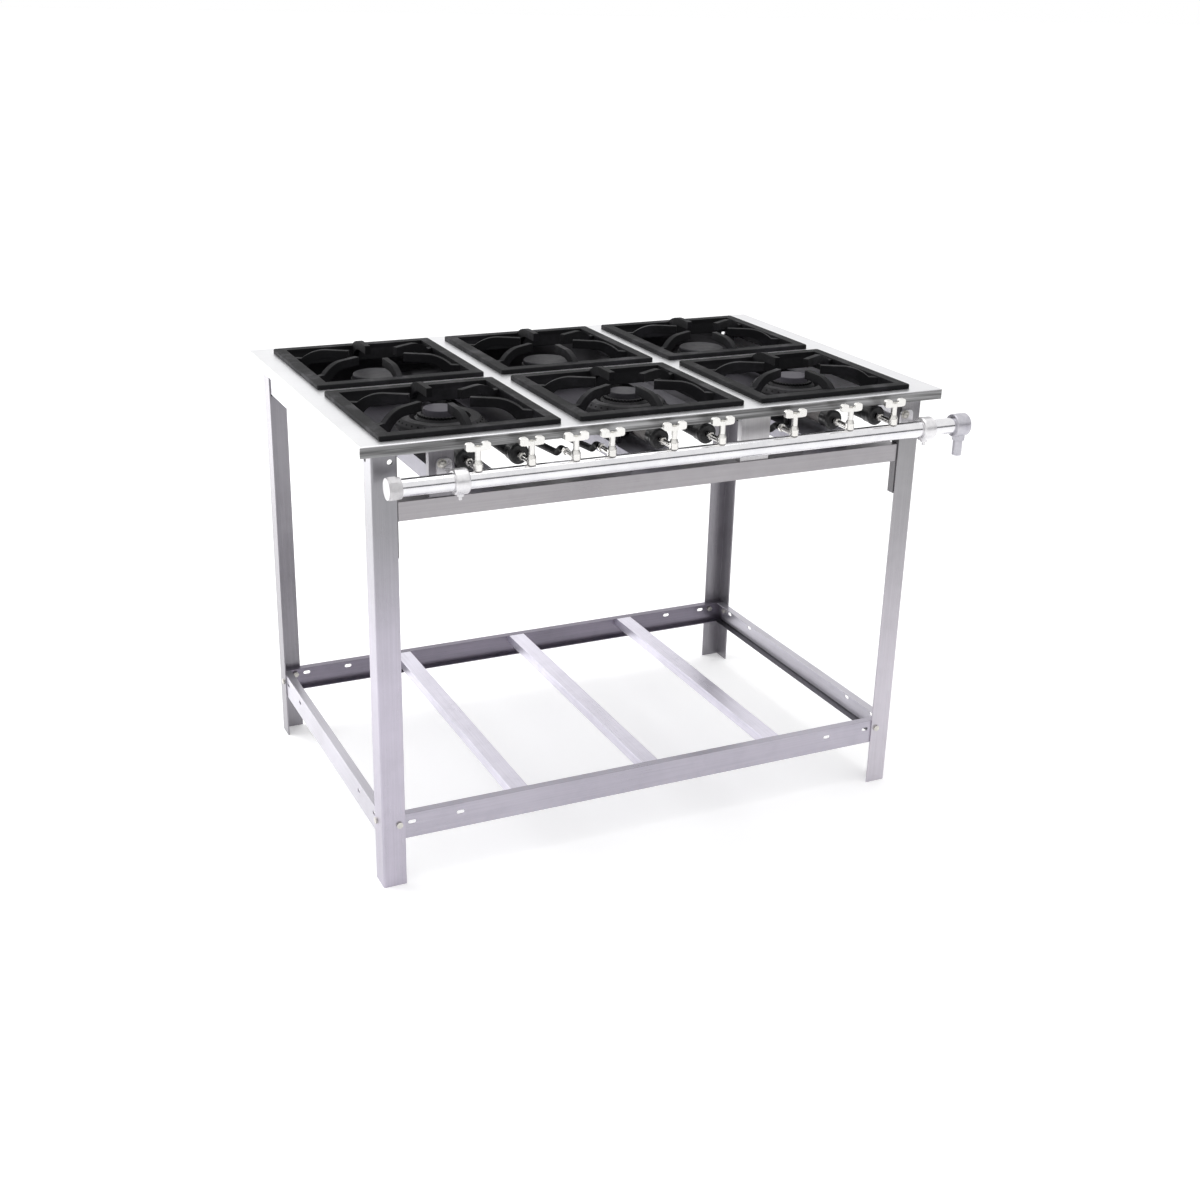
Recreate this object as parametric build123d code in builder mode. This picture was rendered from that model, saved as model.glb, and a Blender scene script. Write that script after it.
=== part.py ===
from build123d import *
import os

# Industrial gas stove with six cast iron grates on an open steel frame, sizes in millimetres.
# X runs to the right along the gas pipe, Y to the back and Z up. The origin lies on the floor, below the
# middle of everything that the stove spans, pipe included. Places in the plan are counted from the middle
# of the leg frame.

# Grates and the openings that they sit in
GRATE_SIZE = 300.0
RIM_HEIGHT = 8.0
RIM_WIDTH = 20.0
RIM_EDGE_R = 2.0
RIM_CORNER_R = 5.0
SKIRT_WALL = 6.0
SKIRT_DEPTH = 20.0
SKIRT_LEAN = 4.0
SKIRT_CLEARANCE = 3.0
OPENING_GAP = 2.0
OPENING_CORNER_R = 6.0
FINGER_COUNT = 6
FINGER_WIDTH = 10.0
FINGER_TIP_R = 50.0
FINGER_FLAT = 40.0
FINGER_RISE = 15.0
FINGER_HEIGHT = 15.0
FINGER_ROOT_DROP = 2.0

# Folded top sheet: what it leaves round the grates
SHEET_TOP = 777.0
SHEET_WALL = 2.0
COLUMN_GAP = 33.0
ROW_GAP = 36.0
SIDE_MARGIN = 45.5
FRONT_MARGIN = 19.0
BACK_MARGIN = 37.0
COLUMN_SHIFT = -9.0
LIP_DEPTH = 18.0
HEM_HEIGHT = 9.0
SHEET_EDGE_R = 1.8

# Leg frame, set in from the edges of the top sheet
SIDE_OVERHANG = 23.5
FRONT_OVERHANG = 24.0
BACK_OVERHANG = 6.0
LEG_FLANGE = 40.0
LEG_WALL = 2.5
LEG_BEND = 3.5
FOLD_WALL = 1.5
SEAT_GAP = 0.3

# Aprons under the sheet
FRONT_WINDOW = 99.0
FRONT_APRON_HEIGHT = 31.0
FRONT_APRON_SHELF = 40.0
APRON_FLANGE = 12.0
SIDE_APRON_HEIGHT = 72.0
REAR_APRON_HEIGHT = 86.0
FLANGE_CUTBACK = 46.0

# Corner brackets behind the front legs, and the two upright plates
BRACKET_REACH = 60.0
BRACKET_WALL = 2.0
BRACKET_FLANGE = 16.0
PLATE_SETBACK = 2.5
PLATE_FLANGE = 13.0
PLATE_FOOT = 16.0
PLATE_HEAD = 12.0
LEFT_PLATE_WIDTH = 42.0
MIDDLE_PLATE_STEP = 13.5
MIDDLE_PLATE_WIDTH = 55.0

# Lower shelf
SHELF_TOP = 131.0
RAIL_HEIGHT = 45.0
RAIL_FLANGE = 15.0
SLAT_WIDTH = 32.0
SLAT_HEIGHT = 18.0
SLAT_PITCH = 253.0
RAIL_BOLT_DROP = 16.0
LEG_BOLT_INSET = 30.0
LEG_TOP_HOLE_DROP = 35.0
LEG_TOP_HOLE_R = 4.5
SLOT_LENGTH = 14.0
SLOT_WIDTH = 7.0
NEAR_SLOT_INSET = 53.0
FAR_SLOT_INSET = 139.0
BOLT_R = 3.0
BOLT_HOLE_GAP = 0.25
BOLT_HEAD_R = 5.5
BOLT_HEAD_HEIGHT = 3.2
BOLT_NUT_R = 5.8
BOLT_NUT_HEIGHT = 5.0

# Gas pipe with its cap, inlet and clamps
PIPE_R = 14.0
PIPE_WALL = 2.6
PIPE_REACH = 25.0
PIPE_DROP = 61.0
PIPE_LEFT_INSET = 15.0
PIPE_RIGHT_REACH = 43.0
FITTING_GAP = 0.15
CAP_R = 19.0
CAP_COLLAR_R = 17.0
CAP_LENGTH = 21.0
CAP_SOCKET = 14.0
CAP_COLLAR = 7.0
CAP_BEVEL = 4.0
INLET_R = 20.0
INLET_LENGTH = 29.0
INLET_SOCKET = 10.0
INLET_EDGE_R = 3.0
INLET_CHAMBER_R = 8.0
INLET_END_WALL = 4.0
NOZZLE_INSET = 12.0
NOZZLE_R = 8.5
NOZZLE_BORE_R = 5.0
NOZZLE_EDGE = 1.2
NOZZLE_DROP = 55.0
NOZZLE_LENGTH = 28.0
NOZZLE_NUT_R = 12.0
CLAMP_R = 20.5
CLAMP_WIDTH = 24.0
CLAMP_EDGE_R = 4.0
CLAMP_ARM_WIDTH = 12.0
CLAMP_ARM_HEIGHT = 16.0
CLAMP_ARM_DROP = 5.0
CLAMP_FOOT_HEIGHT = 30.0
CLAMP_FOOT_WALL = 3.5
CLAMP_FOOT_R = 8.0
CLAMP_BOLT_OFFSET = 11.0
CLAMP_BOLT_RISE = 15.0
CLAMP_BOSS_R = 6.0
CLAMP_BOSS_DROP = 3.0
CLAMP_SCREW_R = 3.0
CLAMP_SCREW_DROP = 9.0
LEFT_CLAMP_STEP = 10.0
RIGHT_CLAMP_INSET = 24.0
DOME_BASE_R = 7.5
DOME_BASE_HEIGHT = 2.0
DOME_R = 6.2
CLAMP_BOLT_R = 3.0

# Gas valves
VALVE_SPREAD = 4.0
OUTER_VALVE_STEP = -5.0
REAR_VALVE_STEP = 88.5
INNER_VALVE_STEP = -110.5
INNER_VALVE_PAIR = 62.5
NIPPLE_R = 4.0
NIPPLE_GAP = 0.1
VALVE_BODY_R = 7.6
VALVE_BODY_HEIGHT = 10.5
VALVE_NECK_R = 5.4
VALVE_NECK_HEIGHT = 5.5
SPINDLE_R = 2.5
SPINDLE_LENGTH = 12.0
SPINDLE_GAP = 0.05
OUTLET_RISE = 3.0
OUTLET_GAP = 0.3
OUTLET_R = 4.6
OUTLET_LENGTH = 35.0
OUTLET_NUT_R = 6.6
OUTLET_NUT_LENGTH = 7.0
INJECTOR_R = 3.2
INJECTOR_TIP_R = 1.6
INJECTOR_REACH = 50.0
HANDLE_GAP = 0.3
HANDLE_HUB_R = 5.0
HANDLE_HUB_HEIGHT = 21.5
HANDLE_HALF_SPAN = 20.5
HANDLE_WING = 14.0
HANDLE_WING_HEIGHT = 13.0
HANDLE_WING_R = 4.0
HANDLE_THICKNESS = 7.0
HANDLE_BAR = 7.0

# Mixing tubes and burners
TUBE_R = 14.5
TUBE_BORE_R = 12.0
BELL_REACH = 48.0
BELL_R = 17.2
BELL_WALL = 1.6
BELL_NECK = 12.0
BELL_LENGTH = 25.0
BELL_HOLE_R = 5.0
BELL_BEVEL = 3.0
PLATE_CLEARANCE = 1.0
THIN_TUBE_R = 5.5
THIN_TUBE_BORE_R = 4.0
THIN_TUBE_RUN = 10.0
THIN_TUBE_FALL_RUN = 16.0
THIN_TUBE_FALL = 12.0
THIN_TUBE_DIP = 20.5
THIN_TUBE_BEND = 12.0
CHANNEL_RISE = 29.0
CHANNEL_WIDTH = 90.0
CHANNEL_SETBACK = 19.5
RING_R = 73.0
RING_BORE_R = 50.0
RING_STAND = 45.0
RING_HEIGHT = 17.0
RING_BEVEL = 8.0
RING_FOOT_R = 5.0
RING_FOOT_X = 36.0
RING_FOOT_Y = 50.0
RING_NECK_Y = -60.0
RING_NECK_R = 13.0
HEAD_R = 41.5
HEAD_STAND = 49.0
HEAD_HEIGHT = 14.0
HEAD_STEM_R = 11.0
HEAD_LIP = 4.0
HEAD_BOSS_R = 9.0
INNER_CAP_R = 29.0
INNER_CAP_HEIGHT = 12.0
INNER_CAP_TAPER = 2.0
INNER_CAP_EDGE_R = 1.5
REAR_BOWL_R = 46.0
REAR_BOWL_NECK_R = 28.0
REAR_BOWL_STAND = 18.0
REAR_BOWL_HEIGHT = 29.0
REAR_STEM_R = 16.0
REAR_TUBE_BEND = 34.0
REAR_CAP_R = 44.0
REAR_CAP_HEIGHT = 8.0
REAR_CAP_TAPER = 1.0
REAR_CAP_EDGE_R = 3.0
REAR_BOSS_R = 14.0
BOSS_GAP = 0.5
BOSS_DEPTH = 8.0
CAP_GAP = 0.3
SHIELD_WIDTH = 264.0
SHIELD_STEP = 64.0
SHIELD_BACK_GAP = 17.0
SHIELD_WALL = 1.0
SHIELD_SKIRT = 24.0

# Places in the plan that follow from the sizes above
COLUMN_PITCH = GRATE_SIZE + COLUMN_GAP
SHEET_HALF_WIDTH = 1.5 * GRATE_SIZE + COLUMN_GAP + SIDE_MARGIN
SHEET_DEPTH = 2 * GRATE_SIZE + ROW_GAP + FRONT_MARGIN + BACK_MARGIN
LEG_HALF_WIDTH = SHEET_HALF_WIDTH - SIDE_OVERHANG
LEG_HALF_DEPTH = (SHEET_DEPTH - FRONT_OVERHANG - BACK_OVERHANG) / 2
SHEET_FRONT = LEG_HALF_DEPTH + FRONT_OVERHANG
SHEET_BACK = LEG_HALF_DEPTH + BACK_OVERHANG
LEG_INSIDE_X = LEG_HALF_WIDTH - LEG_WALL
LEG_INSIDE_Y = LEG_HALF_DEPTH - LEG_WALL
FRONT_ROW_Y = -SHEET_FRONT + FRONT_MARGIN + GRATE_SIZE / 2
BACK_ROW_Y = SHEET_BACK - BACK_MARGIN - GRATE_SIZE / 2
COLUMNS = [COLUMN_SHIFT + step * COLUMN_PITCH for step in (-1, 0, 1)]
VALVE_PITCH = COLUMN_PITCH + VALVE_SPREAD
MIDDLE_OUTER_VALVE = COLUMN_SHIFT + OUTER_VALVE_STEP
OUTER_VALVES = [MIDDLE_OUTER_VALVE + step * VALVE_PITCH for step in (-1, 0, 1)]
REAR_VALVES = [x + REAR_VALVE_STEP for x in OUTER_VALVES]
INNER_VALVES = [x + INNER_VALVE_STEP for x in OUTER_VALVES]
INNER_VALVES[0] = INNER_VALVES[1] - INNER_VALVE_PAIR
ALL_VALVES = sorted(OUTER_VALVES + REAR_VALVES + INNER_VALVES)
PIPE_Y = -SHEET_FRONT - PIPE_REACH
PIPE_LEFT = -LEG_HALF_WIDTH + PIPE_LEFT_INSET
PIPE_RIGHT = LEG_HALF_WIDTH + PIPE_RIGHT_REACH
BELL_MOUTH_Y = PIPE_Y + BELL_REACH
TUBE_MOUTH_Y = BELL_MOUTH_Y + BELL_LENGTH - BELL_NECK
LEFT_PLATE_X = OUTER_VALVES[0] - BELL_R - PLATE_CLEARANCE - LEFT_PLATE_WIDTH / 2
MIDDLE_PLATE_X = COLUMN_SHIFT + COLUMN_PITCH / 2 + MIDDLE_PLATE_STEP
LEFT_CLAMP_X = LEFT_PLATE_X + LEFT_CLAMP_STEP
RIGHT_CLAMP_X = LEG_HALF_WIDTH - RIGHT_CLAMP_INSET
CHANNEL_FRONT = -LEG_INSIDE_Y + CHANNEL_SETBACK
SHIELD_FRONT = FRONT_ROW_Y + SHIELD_STEP
SHIELD_BACK = LEG_INSIDE_Y - SHIELD_BACK_GAP

# Heights that follow from the sizes above
SHEET_UNDERSIDE = SHEET_TOP - SHEET_WALL
RIM_TOP = SHEET_TOP + RIM_HEIGHT
SKIRT_BOTTOM = SHEET_TOP - SKIRT_DEPTH
POT_LEVEL = RIM_TOP + FINGER_RISE
FRONT_APRON_TOP = SHEET_UNDERSIDE - FRONT_WINDOW
SIDE_APRON_BOTTOM = SHEET_UNDERSIDE - SIDE_APRON_HEIGHT
REAR_APRON_BOTTOM = SHEET_UNDERSIDE - REAR_APRON_HEIGHT
BRACKET_BOTTOM = FRONT_APRON_TOP - FRONT_APRON_HEIGHT - BRACKET_REACH
LEG_TOP_HOLE_Z = SHEET_TOP - LEG_TOP_HOLE_DROP
SHELF_BOTTOM = SHELF_TOP - RAIL_HEIGHT
RAIL_BOLT_Z = SHELF_TOP - RAIL_BOLT_DROP
PIPE_Z = SHEET_TOP - PIPE_DROP
PIPE_TOP = PIPE_Z + PIPE_R
OUTLET_Z = PIPE_TOP + OUTLET_RISE
NOZZLE_END_Z = PIPE_Z - NOZZLE_DROP
CLAMP_BOLT_Z = PIPE_Z + CLAMP_BOLT_RISE
THIN_TUBE_Z = OUTLET_Z - THIN_TUBE_DIP
CHANNEL_TOP = FRONT_APRON_TOP + CHANNEL_RISE
RING_BOTTOM = CHANNEL_TOP + RING_STAND
RING_TOP = RING_BOTTOM + RING_HEIGHT
HEAD_BOTTOM = CHANNEL_TOP + HEAD_STAND
HEAD_TOP = HEAD_BOTTOM + HEAD_HEIGHT
REAR_BOWL_BOTTOM = CHANNEL_TOP + SHIELD_WALL + REAR_BOWL_STAND
REAR_BOWL_TOP = REAR_BOWL_BOTTOM + REAR_BOWL_HEIGHT

# The shared frame's origin
SPAN_RIGHT = PIPE_RIGHT - INLET_SOCKET + INLET_LENGTH
NOZZLE_X = SPAN_RIGHT - NOZZLE_INSET
SPAN_FRONT = PIPE_Y - CLAMP_R
FRAME_X = (SHEET_HALF_WIDTH - SPAN_RIGHT) / 2
FRAME_Y = -(SPAN_FRONT + SHEET_BACK) / 2
SIDE_NAMES = ["left", "middle", "right"]


def level(z, x=0.0, y=0.0):
    """A horizontal plane at a height, over a place in the plan."""
    return Plane(origin=(FRAME_X + x, FRAME_Y + y, z))


def across(x, y, z):
    """An upright plane that faces right: its own x is Y and its own y is Z."""
    return Plane(origin=(FRAME_X + x, FRAME_Y + y, z), x_dir=(0, 1, 0), z_dir=(1, 0, 0))


def facing(x, y, z):
    """An upright plane that faces the front: its own x is X and its own y is Z."""
    return Plane(origin=(FRAME_X + x, FRAME_Y + y, z), x_dir=(1, 0, 0), z_dir=(0, -1, 0))


def save(builder, name):
    """Label a finished piece and write it under its name."""
    builder.part.label = name
    export_step(builder.part, f"parts/{name}.step")


def make_top_sheet():
    """The folded top with six square openings and a hemmed lip all round."""
    width = 2 * SHEET_HALF_WIDTH
    middle_y = (SHEET_BACK - SHEET_FRONT) / 2
    opening = GRATE_SIZE - 2 * RIM_WIDTH + 2 * SKIRT_WALL + 2 * OPENING_GAP
    rows = [FRONT_ROW_Y - middle_y, BACK_ROW_Y - middle_y]
    with BuildPart() as sheet:
        with BuildSketch(level(SHEET_TOP - LIP_DEPTH, 0, middle_y)):
            Rectangle(width, SHEET_DEPTH)
        extrude(amount=LIP_DEPTH)
        outer = sheet.faces().sort_by(Axis.Z)[-1].edges()
        fillet(outer, SHEET_EDGE_R)
        with BuildSketch(level(SHEET_TOP - LIP_DEPTH, 0, middle_y)):
            Rectangle(width - 4 * SHEET_WALL, SHEET_DEPTH - 4 * SHEET_WALL)
        extrude(amount=LIP_DEPTH - SHEET_WALL, mode=Mode.SUBTRACT)
        with BuildSketch(level(SHEET_TOP - LIP_DEPTH + HEM_HEIGHT, 0, middle_y)):
            Rectangle(width - 2 * SHEET_WALL, SHEET_DEPTH - 2 * SHEET_WALL)
        extrude(amount=LIP_DEPTH - SHEET_WALL - HEM_HEIGHT, mode=Mode.SUBTRACT)
        with BuildSketch(level(SHEET_UNDERSIDE, 0, middle_y)):
            with Locations(*[(x, y) for x in COLUMNS for y in rows]):
                RectangleRounded(opening, opening, OPENING_CORNER_R)
        extrude(amount=SHEET_WALL, mode=Mode.SUBTRACT)
    save(sheet, "top_sheet")


def make_leg(name, side, end, clamped):
    """An angle leg with its corner outwards and bolt holes in both flanges."""
    bolt_x = LEG_HALF_WIDTH - LEG_BOLT_INSET
    bolt_y = LEG_HALF_DEPTH - LEG_BOLT_INSET
    hole_r = BOLT_R + BOLT_HOLE_GAP
    with BuildPart() as leg:
        with BuildSketch(level(0, side * LEG_HALF_WIDTH, end * LEG_HALF_DEPTH)) as section:
            with BuildLine():
                Polyline(
                    (0, 0),
                    (-side * LEG_FLANGE, 0),
                    (-side * LEG_FLANGE, -end * LEG_WALL),
                    (-side * LEG_WALL, -end * LEG_WALL),
                    (-side * LEG_WALL, -end * LEG_FLANGE),
                    (0, -end * LEG_FLANGE),
                    close=True,
                )
            make_face()
            corner = section.vertices().sort_by_distance((0, 0, 0))[0]
            fillet(corner, LEG_BEND)
        extrude(amount=SHEET_UNDERSIDE)
        with BuildSketch(facing(side * bolt_x, end * LEG_HALF_DEPTH, 0)):
            with Locations((0, RAIL_BOLT_Z)):
                Circle(hole_r)
            if clamped:
                with Locations((RIGHT_CLAMP_X - CLAMP_BOLT_OFFSET - bolt_x, CLAMP_BOLT_Z)):
                    Circle(CLAMP_BOLT_R + BOLT_HOLE_GAP)
            else:
                with Locations((0, LEG_TOP_HOLE_Z)):
                    Circle(LEG_TOP_HOLE_R)
        extrude(amount=LEG_WALL + 1, both=True, mode=Mode.SUBTRACT)
        with BuildSketch(across(side * LEG_HALF_WIDTH, end * bolt_y, 0)):
            with Locations((0, RAIL_BOLT_Z)):
                Circle(hole_r)
            with Locations((0, LEG_TOP_HOLE_Z)):
                Circle(LEG_TOP_HOLE_R)
        extrude(amount=LEG_WALL + 1, both=True, mode=Mode.SUBTRACT)
    save(leg, name)


def make_front_apron():
    """The low front channel: a narrow face, a deep shelf on top and a small flange below."""
    half_length = LEG_HALF_WIDTH - LEG_FLANGE - BRACKET_WALL - SEAT_GAP
    bottom = FRONT_APRON_TOP - FRONT_APRON_HEIGHT
    with BuildPart() as apron:
        with BuildSketch(across(-half_length, -LEG_INSIDE_Y, bottom)):
            with BuildLine():
                Polyline(
                    (0, 0),
                    (APRON_FLANGE, 0),
                    (APRON_FLANGE, FOLD_WALL),
                    (FOLD_WALL, FOLD_WALL),
                    (FOLD_WALL, FRONT_APRON_HEIGHT - FOLD_WALL),
                    (FRONT_APRON_SHELF, FRONT_APRON_HEIGHT - FOLD_WALL),
                    (FRONT_APRON_SHELF, FRONT_APRON_HEIGHT),
                    (0, FRONT_APRON_HEIGHT),
                    close=True,
                )
            make_face()
        extrude(amount=2 * half_length)
    save(apron, "front_apron")


def make_rear_apron():
    """The rear panel between the legs, with flanges folded in along its top and bottom."""
    half_length = LEG_INSIDE_X - SEAT_GAP
    flange_length = 2 * (LEG_INSIDE_X - FLANGE_CUTBACK)
    hole_x = LEG_HALF_WIDTH - LEG_BOLT_INSET
    flange_y = LEG_INSIDE_Y - FOLD_WALL - APRON_FLANGE / 2
    with BuildPart() as apron:
        with BuildSketch(level(REAR_APRON_BOTTOM, 0, LEG_INSIDE_Y - FOLD_WALL / 2)):
            Rectangle(2 * half_length, FOLD_WALL)
        extrude(amount=REAR_APRON_HEIGHT)
        for z in (REAR_APRON_BOTTOM, SHEET_UNDERSIDE - FOLD_WALL):
            with BuildSketch(level(z, 0, flange_y)):
                Rectangle(flange_length, APRON_FLANGE)
            extrude(amount=FOLD_WALL)
        with BuildSketch(facing(0, LEG_INSIDE_Y, LEG_TOP_HOLE_Z)):
            with Locations((-hole_x, 0), (hole_x, 0)):
                Circle(LEG_TOP_HOLE_R)
        extrude(amount=2 * FOLD_WALL, both=True, mode=Mode.SUBTRACT)
    save(apron, "rear_apron")


def make_side_apron(name, side):
    """A side panel between front and rear leg, with flanges folded in along its top and bottom."""
    front_y = -LEG_INSIDE_Y + BRACKET_WALL + SEAT_GAP
    back_y = LEG_INSIDE_Y - FOLD_WALL - SEAT_GAP
    panel_x = side * (LEG_INSIDE_X - FOLD_WALL / 2)
    flange_x = side * (LEG_INSIDE_X - FOLD_WALL - APRON_FLANGE / 2)
    flange_length = 2 * (LEG_INSIDE_Y - FLANGE_CUTBACK)
    hole_y = LEG_HALF_DEPTH - LEG_BOLT_INSET
    with BuildPart() as apron:
        with BuildSketch(level(SIDE_APRON_BOTTOM, panel_x, (front_y + back_y) / 2)):
            Rectangle(FOLD_WALL, back_y - front_y)
        extrude(amount=SIDE_APRON_HEIGHT)
        for z in (SIDE_APRON_BOTTOM, SHEET_UNDERSIDE - FOLD_WALL):
            with BuildSketch(level(z, flange_x)):
                Rectangle(APRON_FLANGE, flange_length)
            extrude(amount=FOLD_WALL)
        with BuildSketch(across(side * LEG_INSIDE_X, 0, LEG_TOP_HOLE_Z)):
            with Locations((-hole_y, 0), (hole_y, 0)):
                Circle(LEG_TOP_HOLE_R)
        extrude(amount=2 * FOLD_WALL, both=True, mode=Mode.SUBTRACT)
    save(apron, name)


def make_corner_bracket(name, side, clamped):
    """The angle behind a front leg that the front apron's end is fixed to."""
    inner = -side * (LEG_FLANGE + BRACKET_WALL)
    outer = -side * (LEG_WALL + SEAT_GAP)
    with BuildPart() as bracket:
        with BuildSketch(level(BRACKET_BOTTOM, side * LEG_HALF_WIDTH, -LEG_INSIDE_Y)):
            with BuildLine():
                Polyline(
                    (outer, 0),
                    (inner, 0),
                    (inner, BRACKET_FLANGE),
                    (inner + side * BRACKET_WALL, BRACKET_FLANGE),
                    (inner + side * BRACKET_WALL, BRACKET_WALL),
                    (outer, BRACKET_WALL),
                    close=True,
                )
            make_face()
        extrude(amount=SHEET_UNDERSIDE - BRACKET_BOTTOM)
        notch_z = SKIRT_BOTTOM - SKIRT_CLEARANCE
        with BuildSketch(level(notch_z, side * LEG_HALF_WIDTH, -LEG_INSIDE_Y)):
            with Locations((inner, BRACKET_WALL + BRACKET_FLANGE / 2)):
                Rectangle(3 * BRACKET_WALL, BRACKET_FLANGE)
        extrude(amount=SKIRT_DEPTH + SKIRT_CLEARANCE, mode=Mode.SUBTRACT)
        with BuildSketch(facing(0, -LEG_INSIDE_Y, 0)):
            if clamped:
                with Locations((RIGHT_CLAMP_X - CLAMP_BOLT_OFFSET, CLAMP_BOLT_Z)):
                    Circle(CLAMP_BOLT_R + BOLT_HOLE_GAP)
            else:
                with Locations((side * (LEG_HALF_WIDTH - LEG_BOLT_INSET), LEG_TOP_HOLE_Z)):
                    Circle(LEG_TOP_HOLE_R)
        extrude(amount=2 * BRACKET_WALL, both=True, mode=Mode.SUBTRACT)
    save(bracket, name)


def make_upright_plate(name, x, width, bolted):
    """An upright plate from the front apron's shelf to the sheet, with its foot and side folded back."""
    front_y = -LEG_INSIDE_Y + PLATE_SETBACK
    side_x = x - (width - BRACKET_WALL) / 2
    with BuildPart() as plate:
        with BuildSketch(level(FRONT_APRON_TOP, x, front_y + BRACKET_WALL / 2)):
            Rectangle(width, BRACKET_WALL)
        extrude(amount=FRONT_WINDOW)
        with BuildSketch(level(FRONT_APRON_TOP, side_x, front_y + PLATE_FLANGE / 2)):
            Rectangle(BRACKET_WALL, PLATE_FLANGE)
        extrude(amount=SKIRT_BOTTOM - SKIRT_CLEARANCE - FRONT_APRON_TOP)
        with BuildSketch(level(FRONT_APRON_TOP, x, front_y + PLATE_FOOT / 2)):
            Rectangle(width, PLATE_FOOT)
        extrude(amount=BRACKET_WALL)
        with BuildSketch(level(SHEET_UNDERSIDE - BRACKET_WALL, x, front_y - PLATE_HEAD / 2)):
            Rectangle(width, PLATE_HEAD)
        extrude(amount=BRACKET_WALL)
        if bolted:
            bolt_x = LEFT_CLAMP_X - CLAMP_BOLT_OFFSET - x
            with BuildSketch(facing(x, front_y, CLAMP_BOLT_Z)):
                with Locations((bolt_x, 0)):
                    Circle(CLAMP_BOLT_R + BOLT_HOLE_GAP)
            extrude(amount=2 * BRACKET_WALL, both=True, mode=Mode.SUBTRACT)
    save(plate, name)


def make_long_rail(name, end):
    """The front or rear shelf rail: an upright face with slots and a flange above and below."""
    half_length = LEG_INSIDE_X - SEAT_GAP
    slots = [s * (LEG_HALF_WIDTH - inset) for inset in (NEAR_SLOT_INSET, FAR_SLOT_INSET) for s in (-1, 1)]
    bolts = [s * (LEG_HALF_WIDTH - LEG_BOLT_INSET) for s in (-1, 1)]
    with BuildPart() as rail:
        with BuildSketch(across(-half_length, end * LEG_INSIDE_Y, SHELF_BOTTOM)):
            with BuildLine():
                Polyline(
                    (0, 0),
                    (-end * RAIL_FLANGE, 0),
                    (-end * RAIL_FLANGE, FOLD_WALL),
                    (-end * FOLD_WALL, FOLD_WALL),
                    (-end * FOLD_WALL, RAIL_HEIGHT - FOLD_WALL),
                    (-end * RAIL_FLANGE, RAIL_HEIGHT - FOLD_WALL),
                    (-end * RAIL_FLANGE, RAIL_HEIGHT),
                    (0, RAIL_HEIGHT),
                    close=True,
                )
            make_face()
        extrude(amount=2 * half_length)
        with BuildSketch(facing(0, end * LEG_INSIDE_Y, RAIL_BOLT_Z)):
            with Locations(*[(x, 0) for x in slots]):
                SlotOverall(SLOT_LENGTH, SLOT_WIDTH)
            with Locations(*[(x, 0) for x in bolts]):
                Circle(BOLT_R + BOLT_HOLE_GAP)
        extrude(amount=2 * FOLD_WALL, both=True, mode=Mode.SUBTRACT)
    save(rail, name)


def make_side_rail(name, side):
    """A side shelf rail, which runs between the flanges of the front and rear rail."""
    half_length = LEG_INSIDE_Y - RAIL_FLANGE - SEAT_GAP
    slots = [s * (LEG_HALF_DEPTH - inset) for inset in (NEAR_SLOT_INSET, FAR_SLOT_INSET) for s in (-1, 1)]
    bolts = [s * (LEG_HALF_DEPTH - LEG_BOLT_INSET) for s in (-1, 1)]
    with BuildPart() as rail:
        with BuildSketch(facing(side * LEG_INSIDE_X, half_length, SHELF_BOTTOM)):
            with BuildLine():
                Polyline(
                    (0, 0),
                    (-side * RAIL_FLANGE, 0),
                    (-side * RAIL_FLANGE, FOLD_WALL),
                    (-side * FOLD_WALL, FOLD_WALL),
                    (-side * FOLD_WALL, RAIL_HEIGHT - FOLD_WALL),
                    (-side * RAIL_FLANGE, RAIL_HEIGHT - FOLD_WALL),
                    (-side * RAIL_FLANGE, RAIL_HEIGHT),
                    (0, RAIL_HEIGHT),
                    close=True,
                )
            make_face()
        extrude(amount=2 * half_length)
        with BuildSketch(across(side * LEG_INSIDE_X, 0, RAIL_BOLT_Z)):
            with Locations(*[(y, 0) for y in slots]):
                SlotOverall(SLOT_LENGTH, SLOT_WIDTH)
            with Locations(*[(y, 0) for y in bolts]):
                Circle(BOLT_R + BOLT_HOLE_GAP)
        extrude(amount=2 * FOLD_WALL, both=True, mode=Mode.SUBTRACT)
    save(rail, name)


def make_slats():
    """The three shelf slats, flush with the rails, whose side webs reach in under the top flanges."""
    half_length = LEG_INSIDE_Y - FOLD_WALL - SEAT_GAP
    half_top = LEG_INSIDE_Y - RAIL_FLANGE - SEAT_GAP
    with BuildPart() as slats:
        for x in (-SLAT_PITCH, 0, SLAT_PITCH):
            with BuildSketch(facing(x, half_length, SHELF_TOP)):
                with BuildLine():
                    Polyline(
                        (-SLAT_WIDTH / 2, 0),
                        (-SLAT_WIDTH / 2, -SLAT_HEIGHT),
                        (-SLAT_WIDTH / 2 + FOLD_WALL, -SLAT_HEIGHT),
                        (-SLAT_WIDTH / 2 + FOLD_WALL, -FOLD_WALL),
                        (SLAT_WIDTH / 2 - FOLD_WALL, -FOLD_WALL),
                        (SLAT_WIDTH / 2 - FOLD_WALL, -SLAT_HEIGHT),
                        (SLAT_WIDTH / 2, -SLAT_HEIGHT),
                        (SLAT_WIDTH / 2, 0),
                        close=True,
                    )
                make_face()
            extrude(amount=2 * half_length)
        for end in (-1, 1):
            with BuildSketch(level(SHELF_TOP - FOLD_WALL, 0, end * (half_top + RAIL_FLANGE / 2))):
                Rectangle(2 * SLAT_PITCH + SLAT_WIDTH, RAIL_FLANGE)
            extrude(amount=FOLD_WALL, mode=Mode.SUBTRACT)
    save(slats, "shelf_slats")


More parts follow.
